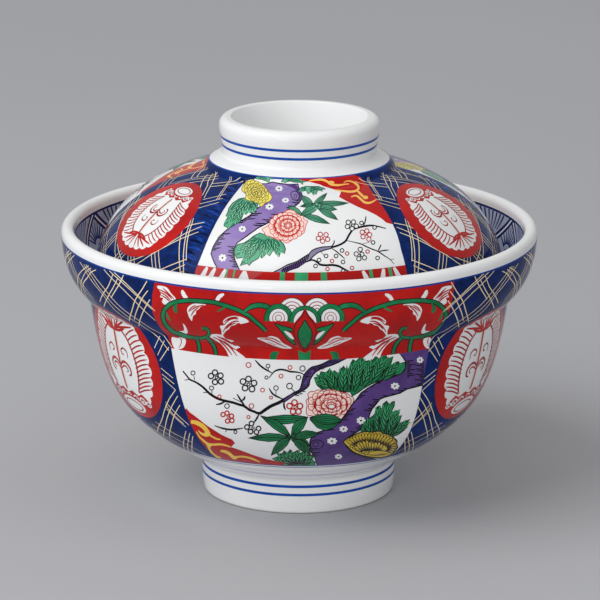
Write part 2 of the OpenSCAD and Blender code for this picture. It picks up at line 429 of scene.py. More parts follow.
def turn_body(node, finish):
    piece = turned[node]
    rows = len(piece.points)
    line = bpy.data.meshes.new(node + "_outline")
    line.from_pydata([(r, 0, z) for r, z in piece.points], [(i, i + 1) for i in range(rows - 1)], [])
    outline = new_object(node + "_outline", line)
    body = new_object(node + "_porcelain", bpy.data.meshes.new(node + "_blank"))
    run_tree(body, wheel, Outline=outline, Rows=rows, Columns=COLUMNS, Weld=WELD, Finish=finish)
    bpy.data.objects.remove(outline)
    spots = np.array([v.co[:] for v in body.data.vertices])
    radius = np.hypot(spots[:, 0], spots[:, 1])
    gap = np.hypot(radius[:, None] - piece.points[None, :, 0], spots[:, 2, None] - piece.points[None, :, 1])
    nearest = np.argmin(gap, axis=1)
    store_slope(body.data, np.arctan2(piece.normals[nearest, 1], piece.normals[nearest, 0]))
    smooth_by_slope(body.data)
    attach(body, node)
    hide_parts(node)
    return body


bodies = {node: turn_body(node, FINISHES["porcelain"]) for node in turned}
for node, body in bodies.items():
    print(node, "body:", len(body.data.vertices), "vertices,", len(body.data.polygons), "faces")

# %% [markdown]
# ## Floor, world and lamps
# The pot was photographed on grey paper under one large soft lamp at the upper left. A big area lamp
# matches that. The pale world fills the shadows and gives the glaze something to mirror. A small low lamp in
# front, left of the camera, lifts the foot and the wall under the collar, as a pale table would.

# %% Set the stage
FLOOR_SIZE = 12.0
PAPER_LIGHT, PAPER_DEEP = (187, 188, 192), (183, 184, 188)
WORLD_LEVEL = 0.51
LAMPS = {  # each square lamp's watts, width and place
    "soft_box": (12.8, 1.2, (-0.85, -0.60, 1.30)),
    "fill": (5.3, 0.5, (-0.5, -1.32, 0.22)),
}
POT_MIDDLE = Vector((0, 0, 0.05))


def build_floor():
    mesh = bpy.data.meshes.new("studio_floor")
    half = FLOOR_SIZE / 2
    mesh.from_pydata([(-half, -half, 0), (half, -half, 0), (half, half, 0), (-half, half, 0)], [], [(0, 1, 2, 3)])
    material, shader, _ = toned("grey_paper", PAPER_LIGHT, PAPER_DEEP, cloud=2.0, brush=400.0, brush_share=0.3)
    feed(material.node_tree, shader, {"Roughness": 0.9, "Specular IOR Level": 0.1})
    mesh.materials.append(material)
    new_object("studio_floor", mesh)


def build_lights():
    world = bpy.data.worlds.new("studio")
    world.use_nodes = True
    feed(world.node_tree, world.node_tree.nodes["Background"], {"Color": (1, 1, 1, 1), "Strength": WORLD_LEVEL})
    bpy.context.scene.world = world
    for name, (watts, size, place) in LAMPS.items():
        lamp = bpy.data.lights.new(name, "AREA")
        lamp.shape = "SQUARE"
        lamp.size = size
        lamp.energy = watts
        light = new_object(name, lamp)
        light.location = place
        light.rotation_euler = (POT_MIDDLE - Vector(place)).to_track_quat("-Z", "Y").to_euler()


build_floor()
build_lights()
bpy.context.scene.view_settings.view_transform = "Standard"
print("stage: floor", FLOOR_SIZE, "m, lamps:", ", ".join(LAMPS))

# %% [markdown]
# ## The painting plane
# A decorator works on a curved wall, but the drawing is easier flat. Every painted shape is kept on a plane:
# across it, degrees round the axis from the front of the pot; up it, millimetres along the outline. A shape
# read from the photograph gets there by a ray from the camera through its pixel to the turned wall.

# %% From the photograph to the plane
FRONT = -math.pi / 2
FOCAL_PX = PHOTO_PX * LENS_MM / SENSOR_MM


def through_photo(pixels, node):
    """Plane points (degrees, millimetres) of the turned wall under pixels of the 600 by 600 photograph."""
    pixels = np.asarray(pixels, dtype=float)
    half = PHOTO_PX / 2
    rays = np.stack([(pixels[:, 0] - half) / FOCAL_PX, (half - pixels[:, 1]) / FOCAL_PX, -np.ones(len(pixels))], 1)
    rays = rays @ np.array(camera.matrix_world.to_3x3()).T
    eye = np.array(camera.matrix_world.translation)
    piece = turned[node]
    outward = np.diff(piece.points[:, 1]) > SAME_POINT
    start, end = piece.points[:-1][outward], piece.points[1:][outward]
    arc, length = piece.arc[:-1][outward], np.diff(piece.arc)[outward]
    lean = (end[:, 0] - start[:, 0]) / (end[:, 1] - start[:, 1])
    radius_at_eye = start[:, 0] + (eye[2] - start[:, 1]) * lean
    a = (rays[:, 0] ** 2 + rays[:, 1] ** 2)[:, None] - (rays[:, 2, None] * lean) ** 2
    b = (rays[:, 0] * eye[0] + rays[:, 1] * eye[1])[:, None] - rays[:, 2, None] * lean * radius_at_eye
    c = eye[0] ** 2 + eye[1] ** 2 - radius_at_eye ** 2
    under_root = b ** 2 - a * c
    reach = (-b - np.sqrt(np.maximum(under_root, 0))) / a
    height = eye[2] + reach * rays[:, 2, None]
    share = (height - start[:, 1]) / (end[:, 1] - start[:, 1])
    hits = (under_root > 0) & (share >= 0) & (share <= 1)
    reach = np.where(hits, reach, np.inf)
    best = np.argmin(reach, axis=1)
    rows = np.arange(len(pixels))
    reach = reach[rows, best]
    found = np.isfinite(reach)
    spots = eye + rays * np.where(found, reach, 0)[:, None]
    degrees = np.degrees(np.arctan2(spots[:, 1], spots[:, 0]) - FRONT)
    degrees = (degrees + 180) % 360 - 180
    along = (arc[best] + share[rows, best] * length[best]) / MM
    return np.stack([degrees, along], 1)[found]


print("the middle of the bowl's front is at", through_photo([(300, 400)], "bowl").round(2).tolist())

# %% [markdown]
# ## Brush strokes
# Every shape ends as a closed polygon with one colour: a wash is a smooth blob, a line is a thin shape that
# swells and tapers as a brush does. Later strokes cover earlier ones. Bare porcelain is a colour too, which
# wipes the paint away.

# %% Curves and strokes
CURVE_STEP = 1.3
TAPER = 0.3
BARE = "porcelain"


def curve(points, closed=False, step=CURVE_STEP):
    """A smooth curve through given points, as short straight pieces."""
    points = np.asarray(points, dtype=float)
    count = len(points)
    if count < 3 and not closed:
        return points
    ring = np.arange(-1, count + 2)
    held = points[ring % count] if closed else points[np.clip(ring, 0, count - 1)]
    out = []
    for i in range(count if closed else count - 1):
        before, start, end, after = held[i:i + 4]
        pieces = max(2, int(math.ceil(math.dist(start, end) / step)))
        t = (np.arange(pieces) / pieces)[:, None]
        out.append(0.5 * (2 * start + (end - before) * t + (2 * before - 5 * start + 4 * end - after) * t ** 2
                          + (3 * start - before - 3 * end + after) * t ** 3))
    if not closed:
        out.append(points[-1:])
    return np.concatenate(out)


def brush_line(path, width, start=0.4, end=0.4, closed=False):
    """The outline of a stroke along a path. Over a TAPER of its length it swells from a share of its width."""
    if closed:
        path = np.concatenate([path, path[:1]])
    ahead = np.gradient(path, axis=0)
    ahead /= np.maximum(np.hypot(ahead[:, 0], ahead[:, 1]), 1e-9)[:, None]
    side = np.stack([-ahead[:, 1], ahead[:, 0]], 1)
    if closed:
        half = np.full(len(path), width / 2)
        side[-1] = side[0]
    else:
        t = np.linspace(0, 1, len(path))
        swell, fall = np.minimum(1, t / TAPER), np.minimum(1, (1 - t) / TAPER)
        half = width / 2 * (start + (1 - start) * swell) * (end + (1 - end) * fall)
    return np.concatenate([path + side * half[:, None], (path - side * half[:, None])[::-1]])


def oval(centre, across, up, tilt=0.0, corners=None):
    """An oval of half sizes across and up, or a circle where up is None."""
    up = across if up is None else up
    corners = corners or max(8, int(max(across, up) * 3))
    t = np.arange(corners) / corners * math.tau
    x, y = across * np.cos(t), up * np.sin(t)
    c, s = math.cos(math.radians(tilt)), math.sin(math.radians(tilt))
    return np.stack([centre[0] + x * c - y * s, centre[1] + x * s + y * c], 1)


print("a stroke has", len(brush_line(curve([(0, 0), (5, 2), (9, 0)]), 1.0)), "corners")

# %% [markdown]
# ## From strokes to enamel
# Blender's constrained Delaunay routine cuts the plane along every stroke at once, so no two colours ever
# overlap. It also gets the outline's own rows and the wheel's own columns, which keep the sheets parallel to
# the body. Each small triangle then takes the colour of the last stroke over it. All triangles of a colour
# make one thin sheet of enamel, lifted by a few hundredths of a millimetre.

# %% A painting on one piece
SECTOR = (-38.5, 81.5)
COPIES = 3
THIRD = 360 / COPIES
PLANE_EPSILON = 1e-4
ENAMEL_LIFT_MM = 0.035
COLUMN_STEP = 360 / COLUMNS


class Painting:
    """The strokes on one turned piece, over one third of its round."""

    def __init__(self, node):
        self.node = node
        self.piece = turned[node]
        self.strokes, self.borders, self.clip = [], [], None

    def field(self, left, right, low, high):
        """Keeps the next strokes inside a part of the plane."""
        self.clip = (left, right, low, high)
        self.borders += [[(left, v), (right, v)] for v in (low, high)]
        self.borders += [[(u, low), (u, high)] for u in (left, right)]

    def fill(self, colour, outline):
        """Adds a stroke, and again a third of a turn away where it crosses the end of the sector."""
        outline = np.asarray(outline, dtype=float)
        if len(outline) < 3:
            return
        for turn in (0, -THIRD, THIRD):
            moved = outline + (turn, 0)
            if moved[:, 0].max() > SECTOR[0] and moved[:, 0].min() < SECTOR[1]:
                self.strokes.append((colour, moved, self.clip))

    def fill_photo(self, colour, outline):
        self.fill(colour, through_photo(outline, self.node))

    def grid(self):
        """The rows and columns that the sheets share with the body, where there is paint."""
        bands = sorted({(clip[2], clip[3]) for _, _, clip in self.strokes})
        lines = list(self.borders)
        left, right = SECTOR
        rows = sorted({round(a / MM, 4) for a in self.piece.arc for low, high in bands if low < a / MM < high})
        lines += [[(left, row), (right, row)] for row in rows]
        first = math.ceil(left / COLUMN_STEP)
        for low, high in bands:
            columns = [left, right] + [n * COLUMN_STEP for n in range(first, int(right / COLUMN_STEP) + 1)]
            lines += [[(u, low), (u, high)] for u in columns]
        return lines

    def cut(self):
        """Triangles of the plane, grouped by colour."""
        corners, edges = [], []
        for line in self.grid():
            edges.append((len(corners), len(corners) + 1))
            corners += line
        for _, outline, _ in self.strokes:
            first, count = len(corners), len(outline)
            corners += [tuple(p) for p in outline]
            edges += [(first + i, first + (i + 1) % count) for i in range(count)]
        flat = delaunay_2d_cdt([Vector(p) for p in corners], edges, [], 0, PLANE_EPSILON, False)
        points = np.array([tuple(p) for p in flat[0]])
        triangles = np.array(flat[2])
        middle = points[triangles].mean(axis=1)
        inside = (middle[:, 0] > SECTOR[0]) & (middle[:, 0] < SECTOR[1])
        triangles, middle = triangles[inside], middle[inside]
        names = [BARE] + sorted({colour for colour, _, _ in self.strokes} - {BARE})
        colour_of = np.zeros(len(triangles), dtype=int)
        for colour, outline, clip in self.strokes:
            low, high = outline.min(axis=0), outline.max(axis=0)
            low, high = np.maximum(low, [clip[0], clip[2]]), np.minimum(high, [clip[1], clip[3]])
            near = np.flatnonzero((middle > low).all(axis=1) & (middle < high).all(axis=1))
            colour_of[near[covers(outline, middle[near])]] = names.index(colour)
        return points, {name: triangles[colour_of == i] for i, name in enumerate(names) if i}


def block(left, right, low, high):
    """The corners of an upright block of the plane."""
    return np.array([(left, low), (right, low), (right, high), (left, high)])


def covers(outline, points):
    """Which points an outline winds round."""
    start, end = outline, np.roll(outline, -1, axis=0)
    x, y = points[:, 0, None], points[:, 1, None]
    side = (end[:, 0] - start[:, 0]) * (y - start[:, 1]) - (x - start[:, 0]) * (end[:, 1] - start[:, 1])
    up = (start[:, 1] <= y) & (end[:, 1] > y) & (side > 0)
    down = (start[:, 1] > y) & (end[:, 1] <= y) & (side < 0)
    return (up.sum(axis=1) - down.sum(axis=1)) != 0


paintings = {node: Painting(node) for node in turned}
print("paintings on", ", ".join(paintings))

# %% [markdown]
# Firing turns a painting into mesh. The corners of its triangles leave the plane for the wall, each moved out
# along the outline's normal, and the repeat tree copies every sheet round the axis.

# %% From the plane to sheets of enamel
def fire(painting):
    """Makes the enamel sheets of a painting, one object for each colour, repeated round the axis."""
    points, groups = painting.cut()
    radius, height, normal_r, normal_z = painting.piece.at(points[:, 1] * MM)
    lift = ENAMEL_LIFT_MM * MM
    radius, height = radius + lift * normal_r, height + lift * normal_z
    turn = np.radians(points[:, 0]) + FRONT
    spots = np.stack([radius * np.cos(turn), radius * np.sin(turn), height], 1)
    slopes = np.arctan2(normal_z, normal_r)
    for colour, triangles in groups.items():
        if not len(triangles):
            continue
        used, renamed = np.unique(triangles, return_inverse=True)
        mesh = bpy.data.meshes.new(painting.node + "_" + colour)
        mesh.from_pydata(spots[used].tolist(), [], renamed.reshape(-1, 3).tolist())
        store_slope(mesh, slopes[used])
        sheet = new_object(mesh.name, mesh)
        run_tree(sheet, repeat, Copies=COPIES, Weld=WELD, Finish=FINISHES[colour])
        smooth_by_slope(sheet.data)
        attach(sheet, painting.node)
        print(sheet.name, len(sheet.data.polygons), "triangles")


print("enamel lies", ENAMEL_LIFT_MM, "mm off the glaze")

# %% [markdown]
# ## A brush that follows the photograph
# Most motifs were read from the photograph, so the brush takes pixels. It can also mirror each
# stroke across an upright line, for the red band, whose two halves match.

# %% Make the brush
VINE_EDGE = 1.9


class Brush:
    def __init__(self, node, mirror=None):
        self.painting, self.mirror = paintings[node], mirror

    def put(self, colour, outline):
        self.painting.fill_photo(colour, outline)
        if self.mirror is not None:
            self.painting.fill_photo(colour, np.stack([2 * self.mirror - outline[:, 0], outline[:, 1]], 1))

    def wash(self, colour, points, smooth=True):
        self.put(colour, curve(points, closed=True) if smooth else np.asarray(points, dtype=float))

    def line(self, colour, points, width, start=0.4, end=0.4):
        self.put(colour, brush_line(curve(points), width, start, end))

    def vine(self, points, width, start=0.9, end=0.7):
        self.line("black", points, width + VINE_EDGE, start, end)
        self.line("green", points, width, start, end)

    def lines(self, colour, width, *paths):
        for path in paths:
            self.line(colour, path, width)

    def rim(self, colour, points, width, smooth=True):
        path = curve(points, closed=True) if smooth else np.asarray(points, dtype=float)
        self.put(colour, brush_line(path, width, closed=True))

    def dot(self, colour, centre, across, up=None, tilt=0.0):
        self.put(colour, oval(centre, across, up, tilt))

    def rings(self, centre, *circles):
        """Full circles round one middle, each over the one before, which leaves rings."""
        for radius, colour in circles:
            self.dot(colour, centre, radius)

    def rimmed(self, colour, points, edge, width, smooth=True):
        self.wash(colour, points, smooth)
        self.rim(edge, points, width, smooth)


def left_of(step):
    """A step turned by a quarter."""
    return np.array([-step[1], step[0]])


def tell(motif, node):
    print(motif + ":", len(paintings[node].strokes), "strokes so far on the", node)


print("the brush can:", ", ".join(name for name in vars(Brush) if not name.startswith("_")))

# %% [markdown]
# Each kind of flower is one function, because the pot repeats it in many sizes. Plum blossoms and buds are
# rings; the blossoms on the bough are white washes with a dark heart.

# %% Blossoms and buds
OUTLINE_HALF = 0.44
BUD_LINE = 0.95
BLOSSOM_PETALS = 7


def plum(brush, petals, size, heart, heart_size, colour="black"):
    """Five round petals drawn in outline, a ringed heart and its stamens."""
    for spot in petals:
        brush.dot(colour, spot, size + OUTLINE_HALF)
    for x, y in petals:
        brush.dot(BARE, (x, y), size - 2 * OUTLINE_HALF)
        brush.line(colour, [heart, ((heart[0] + 2 * x) / 3, (heart[1] + 2 * y) / 3)], 0.6)
    brush.rings(heart, (heart_size * 0.75, colour), (heart_size * 0.35, BARE))


def blossom(brush, centre, across, up):
    """A small white blossom on the bough, with a dark heart."""
    for n in range(BLOSSOM_PETALS):
        a = math.tau * n / BLOSSOM_PETALS
        x, y = across * 0.68 * math.cos(a), up * 0.68 * math.sin(a)
        brush.dot(BARE, (centre[0] + x, centre[1] + y), across * 0.30, up * 0.32)
    brush.dot(BARE, centre, across * 0.55, up * 0.55)
    brush.dot("black", centre, across * 0.24, up * 0.24)


def bud(brush, x, y, size, colour="black"):
    """A round bud, drawn as a ring."""
    brush.rings((x, y), (size, colour), (size - BUD_LINE, BARE))


print("a blossom has", BLOSSOM_PETALS, "petals")

# %% [markdown]
# A chrysanthemum is rows of round-tipped petals. Each row runs between two paths, one through the petals'
# tips and one through their feet, and both are cut into the same number of even steps.

# %% Rows of petals
PETAL_VEINS = 3
PETAL_PLUMP = 0.56
RING_CORNERS = 48


def spaced(path, count):
    """Evenly spaced points along a path, and the space between them."""
    run = run_along(path)
    at = (np.arange(count) + 0.5) / count * run[-1]
    return np.stack([np.interp(at, run, path[:, i]) for i in (0, 1)], 1), run[-1] / count


def petal_row(brush, tips, bases, count, fill, edge, width, vein=None):
    """Round-tipped petals side by side, each from a path of bases to a path of tips, with strokes at its foot."""
    tips, pitch = spaced(tips, count)
    bases, foot = spaced(bases, count)
    for tip, base in zip(tips, bases):
        ahead = tip - base
        length = np.hypot(*ahead)
        tilt = math.degrees(math.atan2(ahead[1], ahead[0]))
        for colour, inset in ((edge, 0), (fill, width)):
            brush.dot(colour, (tip + base) / 2, length / 2 - inset, pitch * PETAL_PLUMP - inset, tilt)
        side = left_of(ahead) / length
        for n in range(PETAL_VEINS):
            start = base + side * foot * 0.3 * (n - (PETAL_VEINS - 1) / 2)
            brush.line(vein or edge, [start, start + ahead * (0.42 + 0.26 * (n % 2))], width * 1.15, 1.0, 0.2)


def bloom(brush, outline, rings, fill, edge, shade, width, tilt=0.0):
    """A chrysanthemum: rings of petals, outermost first, with a shade under the tips of each inner ring.

    A ring is its middle, half width and half height, the share of it left to the next ring, and its petals."""
    brush.rimmed(fill, outline, edge, width)
    for n, (x, y, across, up, share, count) in enumerate(rings):
        if n:
            brush.dot(shade, (x, y), across * 1.05, up * 1.05, tilt)
            brush.dot(fill, (x, y), across * 0.82, up * 0.82, tilt)
        tips, bases = [oval((x, y), across * s, up * s, tilt, RING_CORNERS) for s in (1, share)]
        tips, bases = [np.concatenate([ends, ends[:1]]) for ends in (tips, bases)]
        petal_row(brush, tips, bases, count, fill, edge, width, edge if shade == fill else shade)


print("a petal has", PETAL_VEINS, "veins")

# %% [markdown]
# Bark and leaves follow rules too. Bark is a row of short strokes in from an edge, a leaf spray is a jagged
# wash with pointed leaves over it, and a bamboo leaf is a long lens.

# %% Bark and leaves
FINE_STEP = 0.5
GRAIN_SPACING = 1.8


def bark(brush, path, length, spacing):
    """Short strokes that lean in from the edge of a bough."""
    path = curve(path, step=FINE_STEP)
    run = run_along(path)
    for n, s in enumerate(np.arange(spacing / 2, run[-1], spacing)):
        before, at, after = [np.array([np.interp(s + d, run, axis) for axis in path.T]) for d in (-0.5, 0, 0.5)]
        ahead = (after - before) / max(np.hypot(*(after - before)), 1e-9)
        inward = left_of(ahead)
        reach = length * (0.35 + 0.65 * abs(math.sin(0.31 * n + 0.6)) * (0.8 + 0.2 * math.sin(2.1 * n)))
        bend, end = at + inward * reach * 0.6 + ahead * 0.3, at + inward * reach + ahead * reach * 0.35
        brush.line("black", [at, bend, end], 1.0, 1.0, 0.2)


def grain(brush, edge, first, last, reach):
    """Level strokes in from the edge of a bough, between two heights in the photograph."""
    edge = curve(edge, step=FINE_STEP)
    for n, y in enumerate(np.arange(first, last, GRAIN_SPACING)):
        x = edge[np.argmin(np.abs(edge[:, 1] - y)), 0]
        length = reach * (0.65 + 0.35 * math.sin(2.3 * n + first))
        brush.line("black", [(x, y), (x + length * 0.5, y - 0.15), (x + length, y - 0.6)], 1.2, 1.0, 0.25)


LEAF_SHAPE = [(0.0, 0.16), (0.2, 0.34), (0.45, 0.42), (0.7, 0.31), (0.87, 0.15), (1.02, 0.0)]


def leaf_spray(brush, outline, ribs, fill="green", glint="fresh", edge="black", spacing=5.2, weight=1.0):
    """A spray of peony leaves: a jagged shape, and over it pointed leaves, each with a rib and side veins."""
    brush.rimmed(fill, outline, edge, 1.1 * weight, smooth=False)
    for base, tip, width in ribs:
        base, tip = np.array(base, float), np.array(tip, float)
        span = np.hypot(*(tip - base))
        ahead = (tip - base) / span
        side = left_of(ahead)
        lens = [base + ahead * span * t + side * width * h for t, h in LEAF_SHAPE]
        lens += [base + ahead * span * t - side * width * h for t, h in LEAF_SHAPE[-2::-1]]
        brush.rimmed(fill, lens, edge, 1.0 * weight, smooth=False)
        for sign in (1, -1):
            for s in np.arange(span * 0.10, span * 0.74, spacing):
                start = base + ahead * (s + sign * spacing * 0.2)
                reach = width * 0.50 * (1.15 - 0.8 * s / span)
                sweep = ahead * min(reach * 1.9, (span - s) * 0.9) + sign * side * reach * 0.66
                bow = sweep * 0.5 + sign * side * reach * 0.14
                above = start + ahead * spacing * 0.5
                brush.line(glint, [above, above + bow, above + sweep], 1.5 * weight, 0.9, 0.3)
                brush.line(edge, [start, start + bow, start + sweep], 0.95 * weight, 0.9, 0.4)
        brush.line(edge, [base, base + ahead * span * 0.95], 1.1 * weight, 0.9, 0.3)


def blade(brush, base, tip, width, bend, fill="green", edge="black"):
    """A bamboo leaf: a long lens with a midrib, narrow at the stem."""
    base, tip = np.array(base, float), np.array(tip, float)
    ahead = tip - base
    side = left_of(ahead) / np.hypot(*ahead)
    middle = [base + ahead * t + side * bend * math.sin(math.pi * t) for t in (0, 0.25, 0.5, 0.75, 1)]
    swell = (0.15, 0.85, 1.0, 0.62, 0.0)
    outline = [m + side * width / 2 * s for m, s in zip(middle, swell)]
    outline += [m - side * width / 2 * s for m, s in zip(middle[-2::-1], swell[-2::-1])]
    brush.put(fill, np.array(outline))
    brush.rim(edge, outline, 0.9, smooth=False)
    brush.line(edge, middle, 0.8)
    for sign in (1, -1):
        brush.line(edge, [m + sign * side * width * 0.22 * s for m, s in zip(middle, swell)], 0.55)


print("a leaf has", len(LEAF_SHAPE), "points on each side")

# %% [markdown]
# ## The bowl's panel: plum branch
# The white panel on the front holds a small garden. A thin plum branch comes in from the left with open
# blossoms and round buds. Branch, twigs and buds are single strokes, as a brush would lay them.

# %% Paint the plum branch
def levels(node, low, high):
    """Places along the outline, in millimetres, of two heights in millimetres."""
    return turned[node].arc_at(low * MM) / MM, turned[node].arc_at(high * MM) / MM


PANEL_HALF = 38.5
BAND_REACH = 45
BOWL_FOOT_LINE, NOTCH, BAND_TOP = 19.6, 56.5, 77.8
bowl = Brush("bowl")
bowl.painting.field(-PANEL_HALF, PANEL_HALF, *levels("bowl", BOWL_FOOT_LINE, NOTCH))
bowl.line("black", [(183,371),(187,376),(190,379.5),(195.5,382),(201,385.5),(205,389),(209,393),(214,396.5),
    (219,399),(226,401),(233,402.5),(239,404.5),(244,406),(249,409.5),(254,411.5),(259.5,413.5),(264,411),
    (271,406.5),(280,402.5),(284,400),(290,396)], 2.5, 0.5, 1.0)
bowl.line("black", [(254,411.5),(259.5,413),(264,410.5),(271,406),(280,402),(290,396)], 3.2, 0.5, 1.0)
bowl.lines("black", 1.8, [(184.5,380),(190,379.5)], [(203,392.5),(210,392.5)],
    [(216,404.5),(221,403.5),(226,400.5)], [(237,394),(241,400.5),(245,406)], [(233,398),(241,402)],
    [(245,396),(244,399),(241,401)], [(255,360),(262,367),(272,373)], [(269,378),(272,374),(275,371),(280,369.5),
    (285,370),(290,371.5),(296,372),(301,373),(305,375.5)], [(269,388),(272,393),(276,396),(283,399)],
    [(259,414),(257,418),(254,422.5)], [(214.5,425.5),(220,427.5),(226,429),(233,429.5),(243.5,428)],
    [(227,429),(225.5,432)], [(194,376),(194.5,380)], [(212,390),(212,394)], [(268,368),(268.5,370)],
    [(276,391),(276,395)], [(291.5,388.5),(294.5,391.5)], [(284,401),(284,406),(285.5,410)])
for x, y, size in ((193,373,2.6), (211.5,388,2.6), (227,406,2.9), (268,366,2.4), (266.5,377.5,2.1), (276,388,2.8),
        (302.5,368.5,3.2), (298.5,377.5,2.8), (289.5,386,3.4), (235.5,432,2.1)):
    bud(bowl, x, y, size)
for x, y, size in ((248.5,365,3.0), (262.5,390,2.5), (251.5,406,2.9), (248.5,417,2.1), (271,397.5,2.0),
        (281,376,2.5), (290,367.5,2.5), (219.5,396.5,2.2)):
    bud(bowl, x, y, size, "red")
plum(bowl, [(215,372.5),(220.5,375.5),(221,381.5),(215,382),(211,376)], 2.9, (216.5,377.5), 2.5)
plum(bowl, [(248.5,379),(254,383),(252,389),(245,388),(243,381.5)], 3.1, (248.5,384.5), 2.6)
plum(bowl, [(247,427),(251.5,423.5),(258.5,428.5),(256.5,432),(250.5,431.5)], 2.6, (253,428), 2.2)
plum(bowl, [(227,413),(231.5,416),(232,420.5),(227.5,421),(223,414.5)], 2.4, (228,417), 1.9, "red")
plum(bowl, [(294.5,402.5),(300,406),(298.5,411.5),(293,411.5),(289.5,406)], 3.0, (295,407), 2.4, "red")
tell("plum branch", "bowl")

# %% [markdown]
# ## The bowl's panel: the old bough and its flowers
# A thick purple bough climbs from the bottom to the upper right and sends one arm left. Dark hatching gives
# it bark. Peony leaves, a pink and a yellow chrysanthemum and a star of bamboo leaves lie round it. What is
# in front is painted last.

# %% Paint the bough
TRUNK_LEFT = [(315,458),(310,450),(310,441),(313,434),(322,431),(333,428),(340,421),(346,414),(351,406),(356,400),
    (361,393),(368,388),(375,384),(384,379),(395,376),(401,373),(405,370),(406,362),(402,356),(396,350)]
TRUNK_RIGHT = [(432,348),(432,370),(426,384),(415,387),(407,389),(400,393),(393,395),(385,397),(380,399),(376,404),
    (372,409),(370,413),(368,420),(364,426),(360,430),(353,434),(347,438),(346,446),(352,452),(365,457),(385,461),
    (385,470),(318,470)]
ARM_TOP = [(284,399.5),(293,393),(299,390),(301,386),(302.5,380),(304,375),(308,370),(312,367),(316,366),(322,364),
    (330,360),(336,356.5)]
ARM_LOW = [(349,356),(340,361.5),(332,365),(323,368),(317,371),(313,375),(310,380),(309,385),(306,388.5),(302,391),
    (296,394),(290,398),(284,402)]
bowl.rimmed("purple", ARM_TOP + ARM_LOW, "black", 1.2)
bark(bowl, ARM_TOP[1:], 6.5, 1.7)
bark(bowl, ARM_LOW[:-2], 3.5, 2.2)
bowl.rimmed("purple", TRUNK_LEFT + TRUNK_RIGHT, "black", 1.3, smooth=False)
for edge, first, last, reach in ((TRUNK_LEFT, 376, 387, 5), (TRUNK_LEFT, 392, 401, 7), (TRUNK_LEFT, 409, 421, 8),
        (TRUNK_LEFT, 430, 438, 11), (TRUNK_LEFT, 449, 457, 10), (TRUNK_RIGHT, 385, 388, -8),
        (TRUNK_RIGHT, 387, 412, -8), (TRUNK_RIGHT, 423, 433, -8)):
    grain(bowl, edge, first, last, reach)
for x, first, last, reach in ((424, 362, 386, -10), (407, 361, 379, 9)):
    grain(bowl, [(x, 350), (x, 390)], first, last, reach)
bowl.rim("black", [(310.5,444),(313,440.5),(318,440),(322,441.5),(323.5,444),(321,447.5),(316,449),(311.5,448)], 1.0)
bowl.rim("black", [(313,443),(316.5,441.8),(319,444),(317,446.5),(313.5,446.5)], 0.9)
for spot, across, up in (((343.5,429),4.5,3.3), ((332,441),5.4,3.6), ((338.5,456.5),4.0,2.8), ((361,420.5),4.8,4.0),
        ((395,386),4.6,3.6), ((420,360),3.6,3.4)):
    blossom(bowl, spot, across, up)
tell("bough", "bowl")

# %% Paint the leaves and the two chrysanthemums
leaf_spray(bowl, [(314,377.5),(319,377.5),(321,371.5),(326,373),(329,369.5),(332,373),(334,370.5),(339,374),
    (341,369),(343.5,366),(346,370.5),(347.5,373.5),(350,371.5),(350,365),(353,359.5),(356,361.5),(359,358.5),
    (362.5,357),(364,361.5),(369.5,360.5),(369,364),(367,368),(373,366),(374,359),(375.5,356),(379,359),(382,356),
    (385.5,354),(387.5,359),(393,356.5),(391,363),(389,367.5),(395,363.5),(398.5,361.5),(399,364),(405,362),
    (405.5,368),(401,374),(392,376),(384,379),(373,383),(364,388),(358,392.5),(352,396),(350.5,392),(344,391.5),
    (337,391),(331,388.5),(322,389.5),(317,385),(315,380)], [((331,388),(317,378),12), ((335,389),(328,371.5),12),
    ((343.5,391),(343.5,367.5),15), ((350,390),(353,360.5),11), ((353,391),(363,358.5),12),
    ((362,386),(375,358),13), ((371,382.5),(386,355.5),14), ((383,379),(399,362.5),12)])
bloom(bowl, [(307,414.5),(306.5,409),(307,404.5),(306,400.5),(308.5,398),(307.8,394),(311,391.3),(314.5,391.5),
    (317,390),(321,390.3),(324,391.5),(327,389.3),(331,389.5),(335,390),(338,392.5),(342,392),(347,393.3),
    (349.5,395.5),(353,397.5),(353.5,401.5),(350,407),(346.5,412),(343,417),(341,419.5),(335,418),(327,417.3),
    (320,417.3),(313,416)], [(329.7,403.7,22.6,13.6,0.70,16), (331,404.6,16.4,10.4,0.60,12),
    (331.3,405.8,10.0,6.6,0.42,9)], "blush", "rose", "red", 0.75)
bowl.dot("rose", (331.5,406.5), 4.2, 2.7)
bowl.dot(BARE, (331.5,406.5), 3.2, 1.8)
bowl.line("black", [(340.5,420.5),(346,414),(351,406),(356,400)], 1.4, 1.0, 1.0)
leaf_spray(bowl, [(360,430.5),(362,425),(368,419.5),(373,416),(376,412),(377,407),(379,406),(382,409),(383,404),
    (386.5,401),(389.5,405),(392,402),(394.5,401),(394,406),(391.5,412),(398.5,410.5),(397,415),(396,418),
    (401.5,415),(399,423),(404,421.5),(410,419.5),(406,423.5),(404,426),(407.5,426.5),(404,430),(394,436),
    (388,437),(376,436),(366,434)], [((371,434),(366,421),10), ((378,434),(378,407),12), ((384,434),(386.5,402),14),
    ((388,434),(397,411),12), ((392,435),(408,421),10)])
bowl.rimmed("yellow", [(343.5,441.5),(347,438.5),(351,436.5),(356,434),(360,432.5),(366,431.5),(372,432),(379,431),
    (383,433),(388,434.5),(392,436.5),(395,439),(397,441),(396.5,444),(397.5,447),(395.5,450),(392.5,453.5),
    (388,456),(382,457.5),(374,457.3),(366,456.3),(359,454.3),(353,451.5),(348,447),(345,444)], "black", 1.2)
